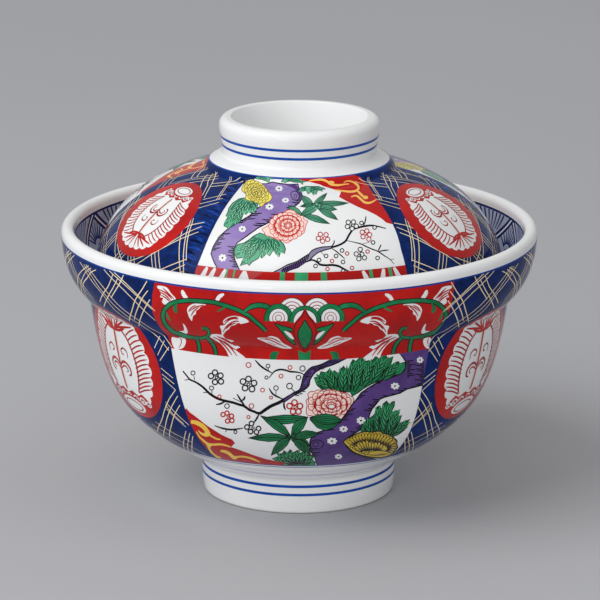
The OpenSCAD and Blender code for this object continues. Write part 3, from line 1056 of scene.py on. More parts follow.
YELLOW_ROWS = [
    (5, [(397,440.5),(397.5,445),(396,449.5),(393,453)], [(388,443),(388,446),(387,449),(385,451)]),
    (6, [(348,445.5),(353,449),(358,452),(366,455.5)], [(357,443),(361,445.5),(366,448),(371,450.5)]),
    (16, [(345,441),(350,437.5),(356,435),(363,432.6),(372,432.6),(380,432.5),(386,434.7),(392,437.2),(397,440.5)],
    [(354,446),(357,443),(362,442),(368,441.5),(376,443),(382,445),(386,446),(388,447)]),
    (10, [(353,447.5),(356,443.5),(361,441),(366,439.5),(370,442),(374,442),(379,441.5),(384,444.5)], [(362,452),
    (364,451),(366,450.5),(368,450.5),(371,450.5),(374,450.5),(377,450.5),(380,451)]),
]
for count, tips, bases in YELLOW_ROWS:
    petal_row(bowl, curve(tips), curve(bases), count, "yellow", "black", 0.7)
bowl.lines("black", 0.9, [(370,452),(379,450.3),(390,452)], [(368,454.5),(377,455),(388,453.5)],
    [(385,446),(388,448),(390,451)])

tell("leaves and chrysanthemums", "bowl")

# %% Paint the bamboo leaves
for base, tip, width, bend in (((310,418.5),(342,421.5),12,4.5), ((342,420.5),(309,417.5),9,0.8),
        ((306,417.5),(263,417.5),9,-2.0), ((291,438),(311,447),9,-1.0), ((290,436),(260,415.5),8.5,1.5),
        ((289,437.5),(248,438),8,0.4), ((290,438),(271,455.5),9,1.0), ((293,439),(311,456),9,-1.5),
        ((293,437.5),(320,433.5),8,-1.0), ((292,435),(308,416.5),10,-1.0)):
    blade(bowl, base, tip, width, bend)
bowl.dot("green", (291.5,437), 3.2, 2.6)
bowl.lines("black", 1.0, [(286,434),(291,437),(297,440)], [(288,441),(291,437),(295,432)],
    [(284,438),(291,437.5),(299,436)])
leaf_spray(bowl, [(281,463),(276,460),(272,459),(277,457),(280,456),(276,452.5),(282,454),(284,450.5),(287,454),
    (290,449.5),(293,453),(298,450),(299,453.5),(306,451.5),(305,455),(314,455.5),(311,459),(315,462),(314,470),
    (283,470)], [((292,465),(274,459.5),5), ((293,465),(277,453.5),6), ((294,464),(284,451.5),6),
    ((296,464),(290,450.5),6), ((298,464),(298,451.5),6), ((300,464),(305,452.5),6), ((303,465),(313,456.5),6)])
tell("bamboo", "bowl")

# %% [markdown]
# ## The bowl's panel: the red cloud
# A red cloud bank closes the panel's lower left corner. Its scrolls are pale yellow lines.

# %% Paint the cloud
SCROLL, STRAW = "scroll", "maize"
bowl.wash("red", [(186,408),(190,412.5),(195,416),(200,420),(207,425.5),(214,430),(222,435),(232,439.5),(235,443),
    (231,447),(240,450),(252,454.5),(266,459),(286,463),(270,474),(210,470),(180,440)], smooth=False)
bowl.line(STRAW, [(191,421.5),(196,422.5),(202,425.5),(206,429.5),(208,433)], 4.2, 0.8, 1.0)
bowl.wash(STRAW, [(198,430),(201,432),(204,433),(207,430.5),(210.5,433),(209,436),(205.5,436.5),(201,434.5)])
bowl.line("red", [(202,428.5),(203.5,431),(205,432.5)], 1.2)
bowl.line(STRAW, [(209,434.5),(213,437),(217,438.8),(221,439.5)], 1.6, 1.0, 0.4)
bowl.line(STRAW, [(196.5,431.5),(199,436),(203,440),(207.5,443.5),(213,444.5),(220,444.2),(226,445.3),(230.5,447)],
    2.1, 0.5, 0.6)
bowl.wash(STRAW, [(206,443),(210,443.5),(212,445),(210,448),(210.5,451),(208.5,449),(207,446)])
bowl.line(STRAW, [(208.5,447),(211,451.5),(215,455.5),(221,458)], 2.0, 1.0, 0.5)
bowl.line(STRAW, [(220.5,450.8),(224.5,451.3),(228.5,453),(232,456),(234.5,458)], 3.0, 0.6, 1.0)
bowl.dot(STRAW, (234.5,457.5), 2.8, 1.9)
bowl.line(STRAW, [(236,457),(242,456.5),(249,457.6),(255,459.8),(260,462)], 1.8, 1.0, 0.5)
tell("cloud", "bowl")

# %% [markdown]
# ## The bowl's red band
# A red band with scrolling vines crosses the collar above the panel. Its two halves are mirror images, so one
# half is drawn and the brush mirrors it. White leaves are bare porcelain left in the red, split by red veins.

# %% Paint the red band
BAND_MIDDLE = 304.5
PANEL_LEFT_EDGE = [(-35.2, 128.2), (-36.4, 123), (-37.3, 118), (-37.0, 110), (-36.1, 104), (-35.7, 98), (-35.1, 90),
    (-34.5, 83), (-34.0, 75), (-33.6, 66), (-33.5, 60)]
PANEL_RIGHT_EDGE = [(38.6, 127.8), (38.4, 118), (37.6, 110), (37.0, 105), (36.5, 98), (36.4, 90), (36.7, 80),
    (37.3, 72), (37.9, 66), (38.2, 60)]
half = Brush("bowl", mirror=BAND_MIDDLE)
bowl.painting.field(-BAND_REACH, BAND_REACH, *levels("bowl", NOTCH, BAND_TOP))
bowl.painting.fill("red", block(-BAND_REACH, BAND_REACH, 100, 130))
half.lines(BARE, 4.0, [(182,290),(184,295),(188,300)], [(224,294),(219,297),(216,303)])
half.wash(BARE, [(157,286),(166,287),(171,293),(176,299.5),(170,302),(166,305),(162,302),(163,298),(160,297),
    (161,293)])
half.lines("red", 1.25, [(158,289),(166,293),(172,299)], [(161,295),(166,298),(170,302)],
    [(163,288),(169,294),(174,299)], [(160,292),(166,295.5),(171,301)])
half.wash(BARE, [(206,304.5),(195,303.5),(189,306),(187,310),(188,314),(189,317),(192,321),(193,316),(196,314),
    (196,311),(199,309),(201,306.5)])
half.lines("red", 1.25, [(204,305),(196,307),(190,311)], [(199,307),(194,311),(191,316)],
    [(196,305),(191,308),(188.5,312)])
half.wash(BARE, [(183,323.5),(186,327),(187.5,333),(180,334),(172,331),(180,331),(184,330)])
half.wash(BARE, [(172,337),(178,338),(183,336),(186,341),(184,347),(180,349),(175,349),(172,343)])
half.line("red", [(180,337),(181.5,342),(179,348)], 0.8)
half.wash(BARE, [(249,321.5),(243,317.5),(235,315.8),(228,317),(223,321),(224,325),(220,326),(221.5,331),(222,336),
    (226,331),(229,329),(231,326),(235,325),(238,323),(243,323.5)])
half.lines("red", 1.4, [(246,321),(236,318.5),(229,320),(224,325)], [(242,321.5),(234,321.5),(227,326),(223,332)],
    [(238,317),(230,318),(224,322)], [(236,323),(230,325),(226,329)])
half.wash(BARE, [(209,336),(214,334),(222,335),(226,338.5),(234,341),(230,343),(240,347),(236,350),(245,358),
    (231,358),(226,350),(221,344),(215,340)])
half.lines("red", 1.4, [(213,337),(222,341),(230,347),(237,356)], [(217,336),(225,340),(232,344)],
    [(224,341),(231,347),(236,350)], [(219,340),(226,347),(232,355)], [(222,337.5),(230,342),(236,346)])
half.vine([(266,331),(261,326),(255,321),(250,316.5),(244,313),(238,310),(230,307),(222,304.5),(212,302),(200,301),
    (190,300.5),(182,301),(174,302.5),(168,306),(164,311),(163,317),(165,323),(169,328),(174,332),(181,334.5),
    (187,336.5),(194,337.5),(200,338),(206,337),(209,334),(208,330),(205,328),(202,328.5)], 3.4)
half.vine([(197,338.5),(199,346),(199.5,356)], 2.8)
half.vine([(207,337.5),(212,343),(215,349),(216.5,359)], 2.8)
half.lines("green", 2.0, [(226,306.5),(222,309),(217,311.5)], [(177,302),(176,307),(177,313)],
    [(166,312),(168,317),(171,321)], [(176,304),(174,308),(176,313)])
half.vine([(244,312),(250,307.5),(257,305.3),(265,306),(271,309)], 4.2, 0.5, 1.0)
half.rings((292,311), (13.4,"black"), (12.8,BARE), (9.7,"rose"), (8.9,BARE), (6.3,"rose"), (5.5,BARE), (3.1,"rose"),
    (2.4,BARE))
half.rings((278.5,318), (14.6,"black"), (14.0,"green"), (9.8,"black"), (9.2,BARE), (6.3,"rose"), (5.7,BARE),
    (3.4,"rose"), (2.8,BARE))
half.wash("red", [(240,320),(262,321),(292,321),(302,326),(303,347),(280,350),(240,348)], smooth=False)
half.wash(BARE, [(249,321.5),(243,317.5),(238,317),(240,323.5),(243,323.5)])
bowl.rings((305,321.5), (16.0,"black"), (15.4,"green"), (12.0,"black"), (11.4,BARE))
bowl.wash("red", [(282,322.5),(327,322.5),(327,346),(282,346)], smooth=False)
half.vine([(266,331),(261,326),(255,321),(250,316.5),(246,314)], 3.1, 0.9, 1.0)
half.rimmed("green", [(275,323.5),(283,326),(291,328),(293,331),(287,332),(292,338),(296,345),(288,340),(281,331)],
    "black", 0.9)
half.wash(BARE, [(284,331),(290,333),(294,339),(290,338)])
half.wash(BARE, [(257,338),(266,337.5),(271,336),(278,338),(283,343),(292,348),(284,348.5),(275,346),(265,342)])
half.lines("red", 1.1, [(260,338.5),(270,340),(279,344),(287,347.5)], [(265,338),(273,338.5),(281,343)],
    [(268,342),(276,345)])
half.wash("green", [(271,353),(275,351.5),(279,352),(277,356),(276,360),(270,360)])
bowl.wash("green", [(298,350),(304.5,353),(311,350),(310,360),(299,360)], smooth=False)
bowl.wash("red", [(305,309),(309,315),(316,324),(317,334),(312,345),(305,353),(298,345),(293,334),(294,324),
    (301,315)])
bowl.rim("black", [(305,311),(309,317),(315,325),(316,334),(311,344),(305,351),(299,344),(294,334),(295,325),
    (301,317)], 0.8)
bowl.rimmed("green", [(305,320),(308,325),(312,332),(311,340),(305,348.5),(299,340),(298,332),(302,325)], "black",
    0.9)
tell("red band", "bowl")

# %% [markdown]
# ## The blue field
# Between the panels the wall is solid blue under the glaze, crossed by fine lines in threes. The lines are
# pale gold. One half of a field is drawn and mirrored about its middle.

# %% Paint the blue field
FIELD_MIDDLE = 60.0
LINE_MM = 0.31
MM_PER_DEGREE = 1.15


def plane_line(painting, colour, path, width, start=0.8, end=0.8):
    """A stroke given on the plane, with its width in millimetres both along and across."""
    even = np.asarray(path, dtype=float) * (MM_PER_DEGREE, 1)
    painting.fill(colour, brush_line(curve(even, step=2.5), width, start, end) / (MM_PER_DEGREE, 1))


def lattice(node, paths, from_photo):
    """Gold lines of the left field's inner half, moved to the field on the right and mirrored."""
    for path in paths:
        path = through_photo(path, node) if from_photo else np.asarray(path, dtype=float)
        away = path[:, 0] + FIELD_MIDDLE
        for sign in (1, -1):
            plane_line(paintings[node], "gold", np.stack([FIELD_MIDDLE + sign * away, path[:, 1]], 1), LINE_MM)


def blue_field(node, left_edge, right_edge, low, high):
    """The blue ground from the right edge of one panel to the left edge of the next."""
    paintings[node].field(*SECTOR, low, high)
    paintings[node].fill("cobalt", right_edge + [(u + THIRD, v) for u, v in left_edge[::-1]])


BOWL_LATTICE = [
    [(80,262),(85,269.5),(90.5,279),(96.7,287),(104,296),(113,308),(124,317),(130,320)],
    [(84,264.5),(91,275),(99,287),(105.5,295),(113,304),(124.5,314),(135.5,321.7),(140,324),(151,331.7),(158,337),
    (169,350.5)], [(86,264.5),(93,274),(104,288),(112,298),(123,309),(140,321),(153,329.5),(160,333),(172,347)],
    [(104,269.5),(113,279.5),(124.5,290.5),(135.5,301.7),(146.7,312.8),(155.5,320.5)],
    [(108,269.5),(119,279.5),(130,289.5),(141,299.5),(152,309)],
    [(112,270),(126.7,284),(137.8,295),(149,305),(155,311)], [(124,274),(120,282.8),(115.5,290.5),(111,298)],
    [(118,278),(113,288),(106.7,299.5),(104,307)], [(113,274),(109,285),(103,294),(100,301.7)],
    [(147,281),(142,289.5),(135.5,299.5),(132,310.5),(129.5,321)],
    [(148,290.5),(143,297),(137.8,308),(134.5,319.5)], [(150,299.5),(145.5,307),(141,317),(139,326)],
    [(160,336),(154.5,348)], [(164.5,340.5),(157.8,355)], [(169,347),(160,360.5)], [(161,368),(173,378)],
    [(162,374),(174.5,384)], [(163,378),(175.5,390)], [(175.5,390),(169,399.5),(164.5,410.5),(161,421.7),(158,432)],
    [(177.8,396),(172,406),(167.8,416),(165,428),(164,436)], [(180,405),(174.5,415),(171,427),(170,438)],
    [(165.5,401.7),(175.5,412.8),(189,425)], [(165.5,405),(174.5,415.5),(184,424)],
    [(166.7,409),(178,420),(186,427)], [(150,427),(165,436),(185,447),(205,457)],
    [(152,424),(168,434),(190,446),(207,455)], [(155,421.5),(170,431),(192,442)], [(186,431),(184,440),(185,449)],
    [(190,433),(188,443),(190,452)], [(193,436),(192,446),(194,454)],
]
blue_field("bowl", PANEL_LEFT_EDGE, PANEL_RIGHT_EDGE, *levels("bowl", BOWL_FOOT_LINE, BAND_TOP))
lattice("bowl", BOWL_LATTICE, from_photo=True)
tell("blue field", "bowl")

# %% [markdown]
# ## The medallion
# A red oval sits in the middle of each blue field. Inside it is a white flower left bare, with a ruffled
# rim, a palmette at one end, a pearl at the other and scrolls in pairs. It is laid out once, in parts of its
# own half width and half height, and the lid's copy is the same figure turned over.

# %% Paint the medallions
RUFFLES = 7
RUFFLE_STROKES = 14


def medallion(node, middle, half_width, half_height, flip=1, weight=1.0, inside=1.0):
    """The red oval and the figure in it, which fills a share `inside` of the oval."""
    painting = paintings[node]
    centre = np.array(middle)
    size = np.array([half_width, half_height * flip])
    mm = np.array([MM_PER_DEGREE, 1.0])

    def put(colour, points):
        painting.fill(colour, centre + np.asarray(points) * size * inside)

    def stroke(colour, points, width, start, end):
        path = curve((centre + np.asarray(points) * size * inside) * mm, step=0.5)
        painting.fill(colour, brush_line(path, width * weight, start, end) / mm)

    def both(colour, points, width, start=0.7, end=0.5):
        for sign in (1, -1):
            stroke(colour, [(sign * x, y) for x, y in points], width, start, end)

    put("red", oval((0, 0), 1 / inside, 1 / inside, corners=72))
    put(BARE, oval((0, 0.02), 0.69, 0.80, corners=48))
    for n in range(RUFFLES):
        a = math.radians(-50 + 100 * (n + 0.5) / RUFFLES)
        for sign in (1, -1):
            put(BARE, oval((sign * 0.68 * math.cos(a), 0.03 + 0.78 * math.sin(a)), 0.13, 0.125, corners=18))
    for x, y in ((0.0, 0.80), (0.17, 0.79), (-0.17, 0.79), (0.33, 0.74), (-0.33, 0.74), (0.46, 0.66), (-0.46, 0.66)):
        put(BARE, oval((x, y), 0.11, 0.12, corners=16))
    for n in range(RUFFLE_STROKES):
        y = -0.45 + 0.98 * n / (RUFFLE_STROKES - 1)
        inner = (0.44 * math.sqrt(1 - (y / 0.76) ** 2), y)
        outer = (0.79 * math.sqrt(1 - ((y + 0.15) / 0.98) ** 2) - 0.02, y + 0.15)
        bend = ((inner[0] + outer[0]) / 2, (inner[1] + outer[1]) / 2 + 0.02)
        both("red" if n % 2 else "rose", [inner, bend, outer], 0.50, 1.0, 0.35)
    both("rose", [(0.22, 0.58), (0.34, 0.46), (0.43, 0.26), (0.47, 0.03), (0.44, -0.22), (0.36, -0.44)], 0.75, 0.9,
        0.9)
    both("blush", [(0.035, 0.58), (0.035, 0.0), (0.035, -0.44)], 0.5, 1.0, 1.0)
    stroke("rose", [(0.0, 0.60), (0.0, 0.0), (0.0, -0.46)], 0.95, 1.0, 1.0)
    both("rose", [(0.27, 0.13), (0.27, 0.23), (0.19, 0.28), (0.11, 0.24), (0.12, 0.18), (0.17, 0.17)], 0.55, 0.5, 0.8)
    both("rose", [(0.01, -0.04), (0.10, 0.03), (0.20, 0.03), (0.28, -0.05), (0.27, -0.15), (0.20, -0.18)], 0.85,
        0.9, 0.5)
    both("rose", [(0.02, -0.10), (0.10, -0.04), (0.18, -0.04), (0.21, -0.10), (0.16, -0.13)], 0.55)
    for x, y in ((0.09, 0.86), (0.22, 0.84), (0.35, 0.79), (0.48, 0.70)):
        both("red", [(0.03, 0.59), (x * 0.5, 0.61 + (y - 0.60) * 0.35), (x, y)], 0.72, 0.9, 0.4)
    both("red", [(0.0, 0.56), (0.14, 0.57), (0.30, 0.63)], 0.85, 1.0, 0.3)
    put("red", [(-0.56, -0.58), (-0.42, -0.46), (-0.30, -0.52), (-0.15, -0.46), (0.0, -0.52), (0.15, -0.46),
        (0.30, -0.52), (0.42, -0.46), (0.56, -0.58), (0.34, -0.78), (-0.34, -0.78)])
    for x, y, across in ((0.0, -0.60, 0.085), (0.20, -0.60, 0.085), (0.38, -0.60, 0.085), (0.52, -0.63, 0.07)):
        for sign in (1, -1):
            put(BARE, oval((sign * x, y), across, across * 0.85, corners=14))
            put("rose", oval((sign * x, y), across * 0.62, across * 0.5, corners=12))
            put(BARE, oval((sign * x, y - 0.01), across * 0.36, across * 0.28, corners=8))
    for colour, y, across, up in (("red", -0.76, 0.40, 0.185), (BARE, -0.76, 0.35, 0.15),
            ("rose", -0.77, 0.28, 0.105), (BARE, -0.77, 0.25, 0.085)):
        put(colour, oval((0, y), across, up, corners=28))


BOWL_MEDALLION = (FIELD_MIDDLE, 94.0)
medallion("bowl", BOWL_MEDALLION, 18.9, 18.6)
tell("medallion", "bowl")

# %% [markdown]
# ## Rings
# The potter's banding wheel leaves plain blue rings: under the lip, at the foot of the painting, and in pairs
# round the foot and the knob. Each is a strip of the plane between two heights.

# %% Paint the rings
def ring(node, height, width, colour="ring_blue"):
    painting = paintings[node]
    middle = painting.piece.arc_at(height * MM) / MM
    painting.field(*SECTOR, middle - width / 2, middle + width / 2)
    painting.fill(colour, block(*painting.clip))


for height, width in ((8.54, 0.80), (6.01, 0.80), (18.6, 0.5)):
    ring("bowl", height, width)
for height in (19.45, 78.05):
    ring("bowl", height, 0.5, "azure")
for height, width in ((105.30, 0.80), (107.86, 0.80), (100.5, 0.75)):
    ring("lid", height, width)
tell("rings", "lid")

# %% [markdown]
# ## The lid's panel
# The lid carries the same garden, turned head down, so that it stands upright when the lid is used as a
# plate. Its parts sit a little differently, so they are placed again, with the same brushes.

# %% Paint the lid's branch and bough
LID_BAND_TOP = 80.5
LID_PAINT_TOP = 100.5
LID_LEFT_EDGE = [(-31.5, 77), (-30.9, 91), (-30.5, 95), (-30.4, 98), (-30.6, 105), (-31.0, 110), (-31.6, 115),
    (-32.2, 119), (-33.0, 122.5), (-34.0, 125.5), (-33.4, 127.2), (-28, 128.0), (-24, 131)]
LID_RIGHT_EDGE = [(32.5, 77), (31.9, 88), (32.7, 97), (33.8, 102), (34.5, 106), (35.4, 111), (35.9, 114),
    (36.8, 117.5), (38.6, 121.6), (41.0, 125.5), (40.2, 127.8), (37.0, 128.6), (34, 131)]
LID_PAINT_FOOT = 71.5
lid_low, lid_band = levels("lid", LID_PAINT_FOOT, LID_BAND_TOP)
lid_top = levels("lid", LID_BAND_TOP, LID_PAINT_TOP)[1]
lid = Brush("lid")
lid.painting.field(-BAND_REACH, BAND_REACH, lid_band, lid_top)
lid.line("black", [(331,247.5),(338,245.5),(343,243),(346,240.5),(349,235),(353,229.5),(357,228),(363,226.5),
    (371,225.5),(378,226.5),(386,228.5)], 2.0, 1.0, 0.4)
lid.lines("black", 1.2, [(363,226.5),(365,222),(366,216)], [(331,247),(334,243),(334,240)], [(346,240.5),(353,242),
    (361,244),(366,246.5),(373,249.5),(378,251.5),(384,255.5),(390,259.5),(394,264)], [(390,259.5),(394,259)],
    [(378,251),(380,247),(381,244.5)], [(378,251.5),(384,250.5),(389,250)], [(363,243.5),(369,242.5)],
    [(331,248),(337,252),(345,259)], [(321,252),(324,255.5)], [(340,266.5),(344,271)])
lid.line("black", [(306,262),(312,260),(317,262),(320,264.5),(326,265.3),(332,265),(338,266),(344,269),(352,273)],
    2.2, 0.6, 0.5)
ARM_STRIPES = 13
ARM = [(273,272.5),(280,269),(287,265),(297,261.5),(304,257),(309,254),(312,250.5),(316,248.5),(322,247),
    (331,246.5),(331,248.5),(325,250),(318,252.5),(313,256.5),(310,260),(305,262.5),(298,267.5),(290,270),
    (284,273)]
lid.wash("ash", ARM + [(276,277)], smooth=False)
lid.rim("black", ARM, 1.1, smooth=False)
for x, y in ((319,260), (315.5,266), (326,256), (336,256), (342,250.5), (343,262), (343,271), (377.5,258),
        (374.5,227.5), (361.5,223), (373,242.5)):
    bud(lid, x, y, 2.4)
for x, y in ((347,253.5), (327.5,269), (352,268), (332,261), (367.5,251.5)):
    bud(lid, x, y, 2.3, "red")
LID_PLUMS = [
    ([(348.2,222.3),(353.4,222.0),(347.4,226.6),(352.0,228.6),(356.2,226.2)], "black"),
    ([(362.2,232.2),(366.8,231.0),(363.0,236.8),(369.6,234.8),(368.8,239.2)], "red"),
    ([(320.3,234.3),(326.0,234.8),(318.3,238.4),(322.6,241.2),(327.6,239.4)], "red"),
    ([(360.2,249.4),(356.2,254.0),(361.8,254.4),(358.8,258.8),(364.4,257.8)], "black"),
]
for petals, colour in LID_PLUMS:
    for x, y in petals:
        bud(lid, x, y, 2.75, colour)
    lid.dot(colour, np.mean(petals, axis=0), 1.0)
lid.line("purple", [(281,271),(297,265),(306,260)], 4.2)
for x in 283 + 2.1 * np.arange(ARM_STRIPES):
    top = np.interp(x, [273, 297, 304, 312, 331], [272.5, 261.5, 257, 250.5, 246.5])
    foot = np.interp(x, [276, 298, 305, 313, 331], [277, 267.5, 262.5, 256.5, 248.5])
    lid.line("black", [(x + 0.9, top), (x - 0.9, foot)], 1.3, 1.0, 0.7)
LID_TRUNK_LEFT = [(252,180),(262,185),(270,195),(268,202),(258,208),(250,215.5),(240,221.5),(228,229),(219,237),
    (213,247),(211,254),(214,262),(219,271),(222,280)]
LID_TRUNK_RIGHT = [(246,282),(240,271),(235,260),(233.5,250),(237,243),(247,236),(258,228),(270,222),(283,215),
    (292,208.5),(299,203),(303,197),(300,190),(298,184),(289,184.5),(280,183.5),(272,182),(267,183.8),(261,183.8)]
lid.rimmed("lilac", LID_TRUNK_LEFT + LID_TRUNK_RIGHT, "black", 1.1, smooth=False)
for edge, first, last, reach in ((LID_TRUNK_LEFT, 212, 224, 12), (LID_TRUNK_LEFT, 234, 252, 9),
        (LID_TRUNK_RIGHT, 247, 268, -7), (LID_TRUNK_RIGHT, 213, 226, -13), (LID_TRUNK_RIGHT, 201, 211, -9)):
    grain(lid, edge, first, last, reach)
lid.line("purple", [(287,185),(294,186.5),(298,190),(300.5,195),(299,201)], 4.0, 0.3, 0.6)
lid.rim("black", [(291,193),(296,191.5),(299.5,196),(297,200),(292.5,199)], 0.9)
lid.rim("black", [(294,195.5),(296.5,195),(296.5,198),(294.5,198)], 0.7)
for spot, across, up in (((279,188.5),4.2,3.0), ((285.5,200.3),3.9,2.7), ((269.5,206.8),4.4,3.2),
        ((242.3,229),4.0,3.4), ((222.5,257.8),4.2,4.0)):
    blossom(lid, spot, across, up)
tell("branch and bough", "lid")

# %% Paint the lid's leaves and flowers
leaf_spray(lid, [(260,233),(254,236),(249,240),(244,243),(238,244.5),(235,248),(234,252),(237,258.5),(242,257.5),
    (245,256.5),(240,266),(247,263.5),(249,265.5),(252,262),(258,258.5),(260,253),(262,258.5),(264,256),
    (267,252.5),(269.5,256),(272,252),(273.5,250),(276,254),(279,257),(280.5,251.5),(284.5,253.5),(285.5,249),
    (283.5,244),(279,239.5),(274,236.5),(267,235.5)], [((256,238),(237,255),9), ((260,239),(242,264),10),
    ((264,240),(261,257),9), ((268,239),(269,253),8), ((273,239),(279,254),9)], "mint", "pale", "teal", 4.4, 0.85)
leaf_spray(lid, [(244,198),(239,199),(233,203),(229,208),(228,212),(226,216),(228,217.5),(225,222),(224,226),
    (227,227),(228,230),(232,226),(236,224),(240,222),(242.5,216),(242,211),(246,214.5),(248.5,211.5),(251,213),
    (254,211),(257,208),(258,204),(254,202)], [((243,200),(226,224),11), ((245,204),(232,226),9),
    ((248,202),(246.5,212),8), ((253,203),(254,210),6)], "mint", "pale", "teal", 4.4, 0.85)
blade(lid, (289,206.5), (304,218), 8, 0.5, "mint", "teal")
bloom(lid, [(290,210),(294,211),(297,214),(301,215.5),(303.5,216),(304,219.5),(307.5,221),(306,225),(305,229),
    (304.5,232),(301,235),(297,236.5),(293,239),(290,241.5),(286,243),(282,240.5),(278,240),(274,238),(270,236.5),
    (266,235.5),(264,232),(262,229.5),(266,227),(270,224),(271,220),(275,217.5),(280,214.5),(284,212.5),
    (287,210.5)], [(286.5,226.5,18.3,14.6,0.66,17), (287.3,225.6,12.6,10.4,0.60,13), (288,225.5,7.6,6.4,0.36,8)],
    "blush", "coral", "red", 0.7)
lid.dot("coral", (288,225.5), 2.6, 2.1)
lid.dot(BARE, (288,225.5), 1.6, 1.2)
bloom(lid, [(250,179),(246,182),(242.5,187),(242,190.5),(246,194.5),(245.5,199),(250,201),(256,201),(259,203.5),
    (261,207),(265,203.5),(270,201),(272,197),(269,192),(264,187),(258,183),(254,180)],
    [(256.5,192,14.0,10.2,0.68,16), (256.5,192.5,9.6,6.8,0.55,12), (256.5,193,5.0,3.6,0.2,7)], "lemon", "umber",
    "lemon", 0.65, tilt=40.0)
for base, tip, width, bend in (((313,206),(327,193),5,0.4), ((313,206),(301,195),7,-0.6),
        ((318,203),(349,203),5,0.6), ((319,206),(337,209.5),6,0.4), ((319,209),(338,220),6,-0.6),
        ((303,215),(330,224),6,-0.6), ((318,207),(300,216),7,1.0), ((315,204),(300,206.5),4,0.0)):
    blade(lid, base, tip, width, bend, "mint", "teal")
lid.dot("mint", (316.5,206.5), 3.6, 3.0)
lid.lines("teal", 0.9, [(311,204),(316,206),(321,207.5)], [(312,209),(317,206),(321,202.5)],
    [(314,203),(317,207),(320,211)])
SMALL_SPRAYS = [
    ([(253,178),(255,175),(259,173.5),(264,174),(269,175.5),(274,176),(273,179),(270,179),(269,183),(266,180),
    (262,179.5),(257,179)], [((258,175),(268,181),5)]),
    ([(281,182),(285,178),(289,176.5),(294,177),(299,178),(304,180),(307,181.5),(303,182),(303,184.5),(299,181.5),
    (294,181),(290,181),(285,182.5)], [((286,178.5),(304,182),5)]),
    ([(298,192),(301,187.5),(306,186.3),(312,186.5),(319,186.5),(323,188),(326,189),(321,189.5),(323,191.5),
    (318,190),(316,194.5),(312,191.5),(308,194),(306,190.5),(302,191)], [((305,187.5),(302,191),4),
    ((311,187.5),(314,193),5), ((313,187.5),(322,190),4)]),
]
for outline, ribs in SMALL_SPRAYS:
    leaf_spray(lid, outline, ribs, "mint", "mint", "teal", 3.4, 0.7)
lid.wash("red", [(298,174),(330,172),(356,172),(366,178),(372,188),(380,200),(388,212),(395,224),(391,224),
    (386,222.5),(382,219),(376,215),(367,210.5),(358,207),(347,201.5),(339,197),(341,191.5),(334,189.5),(326,187),
    (320,184.5),(310,182),(300,180)], smooth=False)
lid.lines(SCROLL, 2.2, [(309,181),(315,180),(322,179.7),(327,181.5),(331,184.3),(338,185.2),(345,184.3),(349,184)],
    [(343.5,182.5),(348,181),(354,182.5),(358.3,186.5),(357.5,190),(352,191.7),(344,191.2),(335,190)],
    [(357,190.5),(361,194.5),(365.5,198.5)],
    [(351,197),(356,195.7),(360,198.5),(364.5,202.3),(370,202.8),(376,199.8)])
lid.dot(SCROLL, (331,182.5), 3.4, 1.6)
lid.dot(SCROLL, (365.5,197.5), 2.8, 1.9)
tell("leaves and flowers", "lid")

# %% Paint the lid's blue field, medallion and edge band
LID_LATTICE = [
    [(-42.3,109),(-40,102.7),(-36.7,94.7),(-35,90.7),(-33,85)],
    [(-43,106.3),(-41.3,100.7),(-38,94),(-35.7,89.3),(-34,84)], [(-41,107),(-40,105.3),(-38,100),(-35,93.3)],
    [(-35.3,106.3),(-40.7,104),(-43,100.7)], [(-35.3,104.7),(-40,101.3),(-45.3,96),(-53.3,90.7),(-60,87.5)],
    [(-35.3,102.7),(-41.3,98.7),(-48.7,92.7),(-53.3,88.7),(-60,85)], [(-49.3,93.3),(-46,88.7),(-43,84)],
    [(-48.3,94.2),(-44.7,89),(-41.5,84)], [(-47,94.8),(-43.3,89.3),(-40,84)], [(-35,93.7),(-42.7,89.3),(-50,84)],
    [(-35,92),(-42,87.5),(-47,83.5)], [(-35,90),(-40,86.5),(-45,82.5)], [(-66,125.5),(-58.7,121.5),(-53,118.5)],
    [(-63.3,126.7),(-57.3,123.3),(-52,120.7),(-47.3,116.3)], [(-61.3,127.5),(-53.3,123.4),(-48,119),(-45,115.5)],
    [(-46.3,127.5),(-41.6,122),(-38.4,116)], [(-45,127.5),(-40.6,122),(-37.4,116)], [(-44.7,114.7),(-36.7,119.2)],
    [(-44,112.7),(-36,117)], [(-42.7,111),(-36,115)], [(-35.3,127),(-43,123.5),(-50,121)],
    [(-38,127.8),(-45,125),(-52,122.4)], [(-56,90.5),(-53,86.5),(-51,83)], [(-57.5,90.2),(-54.5,86),(-52.5,82.5)],
    [(-59,90),(-56,85.5),(-54,82)],
]
LID_MEDALLION = (FIELD_MIDDLE, 105.0)
FRINGE_STROKES = 38
lid.painting.field(-BAND_REACH, BAND_REACH, lid_low, lid_band)
lid.painting.fill("red", block(-BAND_REACH, BAND_REACH, 70, 95))
for u, width in ((-21.0, 0.6), (-18.8, 0.6), (-4.7, 1.6), (0.7, 4.3), (7.1, 2.0), (21.0, 1.2), (27.0, 1.2)):
    plane_line(lid.painting, "fresh", [(u - 0.8, 80), (u - 0.2, 86), (u, 93)], width, 1, 1)
for u, lean in ((-28, 1), (-25.5, 1), (-22.2, 1), (-16.4, 1), (-15.2, -1), (19.2, -1), (24.5, 1), (29, -1)):
    plane_line(lid.painting, BARE, [(u - 2.5 * lean, 80), (u - lean, 87), (u + 0.6 * lean, 92.3)], 1.9, 0.6, 0.5)
blue_field("lid", LID_LEFT_EDGE, LID_RIGHT_EDGE, lid_low, lid_top)
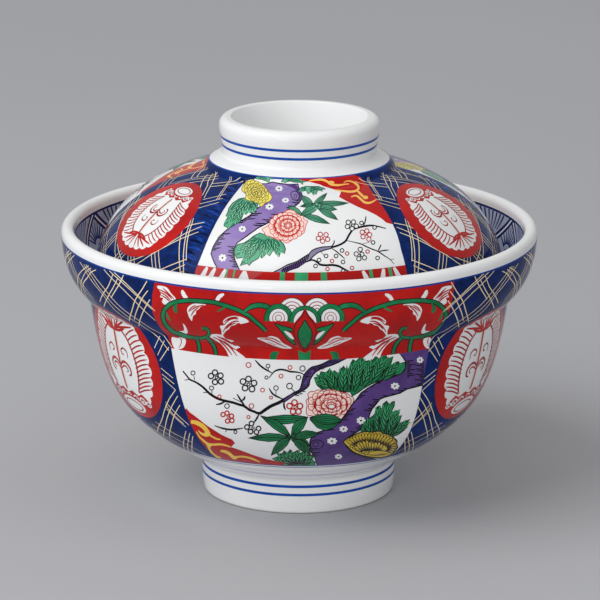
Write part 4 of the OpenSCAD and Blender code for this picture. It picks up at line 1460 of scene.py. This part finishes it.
for n in range(FRINGE_STROKES):
    v = 88.5 + 38 * (n + 0.35 * math.sin(5.1 * n)) / (FRINGE_STROKES - 1)
    edge = THIRD - 0.4 + np.interp(v, *np.array(LID_LEFT_EDGE[:11]).T[::-1])
    start, reach = edge - 1.2 * (1 + math.sin(3.7 * n)), 4.5 + 2.2 * math.sin(2.7 * n)
    fringe = [(start, v), (start - reach * 0.5, v + 0.7), (start - reach, v + 0.5)]
    plane_line(lid.painting, ("azure", "night", "azure")[n % 3], fringe, 0.6 + 0.3 * math.sin(1.9 * n), 0.6, 0.2)
lattice("lid", LID_LATTICE, from_photo=False)
medallion("lid", LID_MEDALLION, 18.8, 15.0, flip=-1, weight=0.75, inside=0.92)
ring("lid", LID_PAINT_FOOT, 0.5)
tell("field and edge band", "lid")

# %% [markdown]
# ## Inside the rim
# Below its white lip the bowl has a blue border of triangles between double bars. Some hold a fan and some
# plain strokes. It is a rule, so it is drawn as one.

# %% Paint the border inside the rim
INSIDE_TOP, INSIDE_DEPTH = 78.03, 11.5
BORDER_REPEATS = 5
HATCHES, FAN_RIBS = 7, 9
BAR_HALF = 1.1
LIP_LINE = 0.7
PAST_SECTOR = (-39, 82)
inside_high = turned["bowl"].arc_at(INSIDE_TOP * MM, outside=False) / MM
border = paintings["bowl"]
border.field(*SECTOR, inside_high, inside_high + INSIDE_DEPTH)
border.fill("haze", block(*PAST_SECTOR, inside_high, inside_high + INSIDE_DEPTH))
pitch = THIRD / BORDER_REPEATS
for n in range(BORDER_REPEATS):
    left = SECTOR[0] + n * pitch
    top, bottom = inside_high + 0.3, inside_high + INSIDE_DEPTH
    for bar in ([(left, top), (left + pitch / 2, bottom)], [(left + pitch / 2, bottom), (left + pitch, top)]):
        plane_line(border, BARE, bar, 2.4, 1, 1)
        for shift in (-BAR_HALF, BAR_HALF):
            plane_line(border, "cobalt", [(u + shift, v) for u, v in bar], 0.95, 1, 1)
    for k in range(HATCHES):
        u = left + pitch * (0.24 + 0.52 * k / (HATCHES - 1))
        plane_line(border, "cobalt", [(u, top + 0.5), ((u + left + pitch / 2) / 2, (top + bottom) / 2)], 0.85, 1.0,
            0.4)
    heart = (left + pitch, bottom - 1.0)
    for k in range(FAN_RIBS):
        a = math.radians(-60 + 15 * k)
        rib = [(heart[0] + across * math.sin(a), heart[1] - up * math.cos(a)) for across,
            up in ((2.2, 2.4), (7.0, 7.6))]
        plane_line(border, "cobalt", rib, 0.85, 1.0, 0.4)
    border.fill("cobalt", oval(heart, 1.0, 1.1))
border.fill("cobalt", block(*PAST_SECTOR, inside_high, inside_high + LIP_LINE))
tell("border", "bowl")

# %% [markdown]
# ## The dry foot
# A pot would stick to the kiln shelf if its foot were glazed, so the ring it stands on is wiped to bare,
# slightly rough clay.

# %% Wipe the foot ring
FOOT_WIPE = 0.35


def wipe(node, height_mm):
    piece = turned[node]
    low = piece.points[:, 1].min() + height_mm * MM
    under = piece.arc[piece.points[:, 1] < low] / MM
    painting = paintings[node]
    painting.field(*SECTOR, under.min(), under.max())
    painting.fill("clay", block(*painting.clip))


for node in paintings:
    wipe(node, FOOT_WIPE)
print("dry rings on", ", ".join(paintings))

# %% [markdown]
# ## Firing
# Each painting is cut into its sheets of enamel and repeated round the axis.

# %% Fire the paintings
for painting in paintings.values():
    fire(painting)

# %% [markdown]
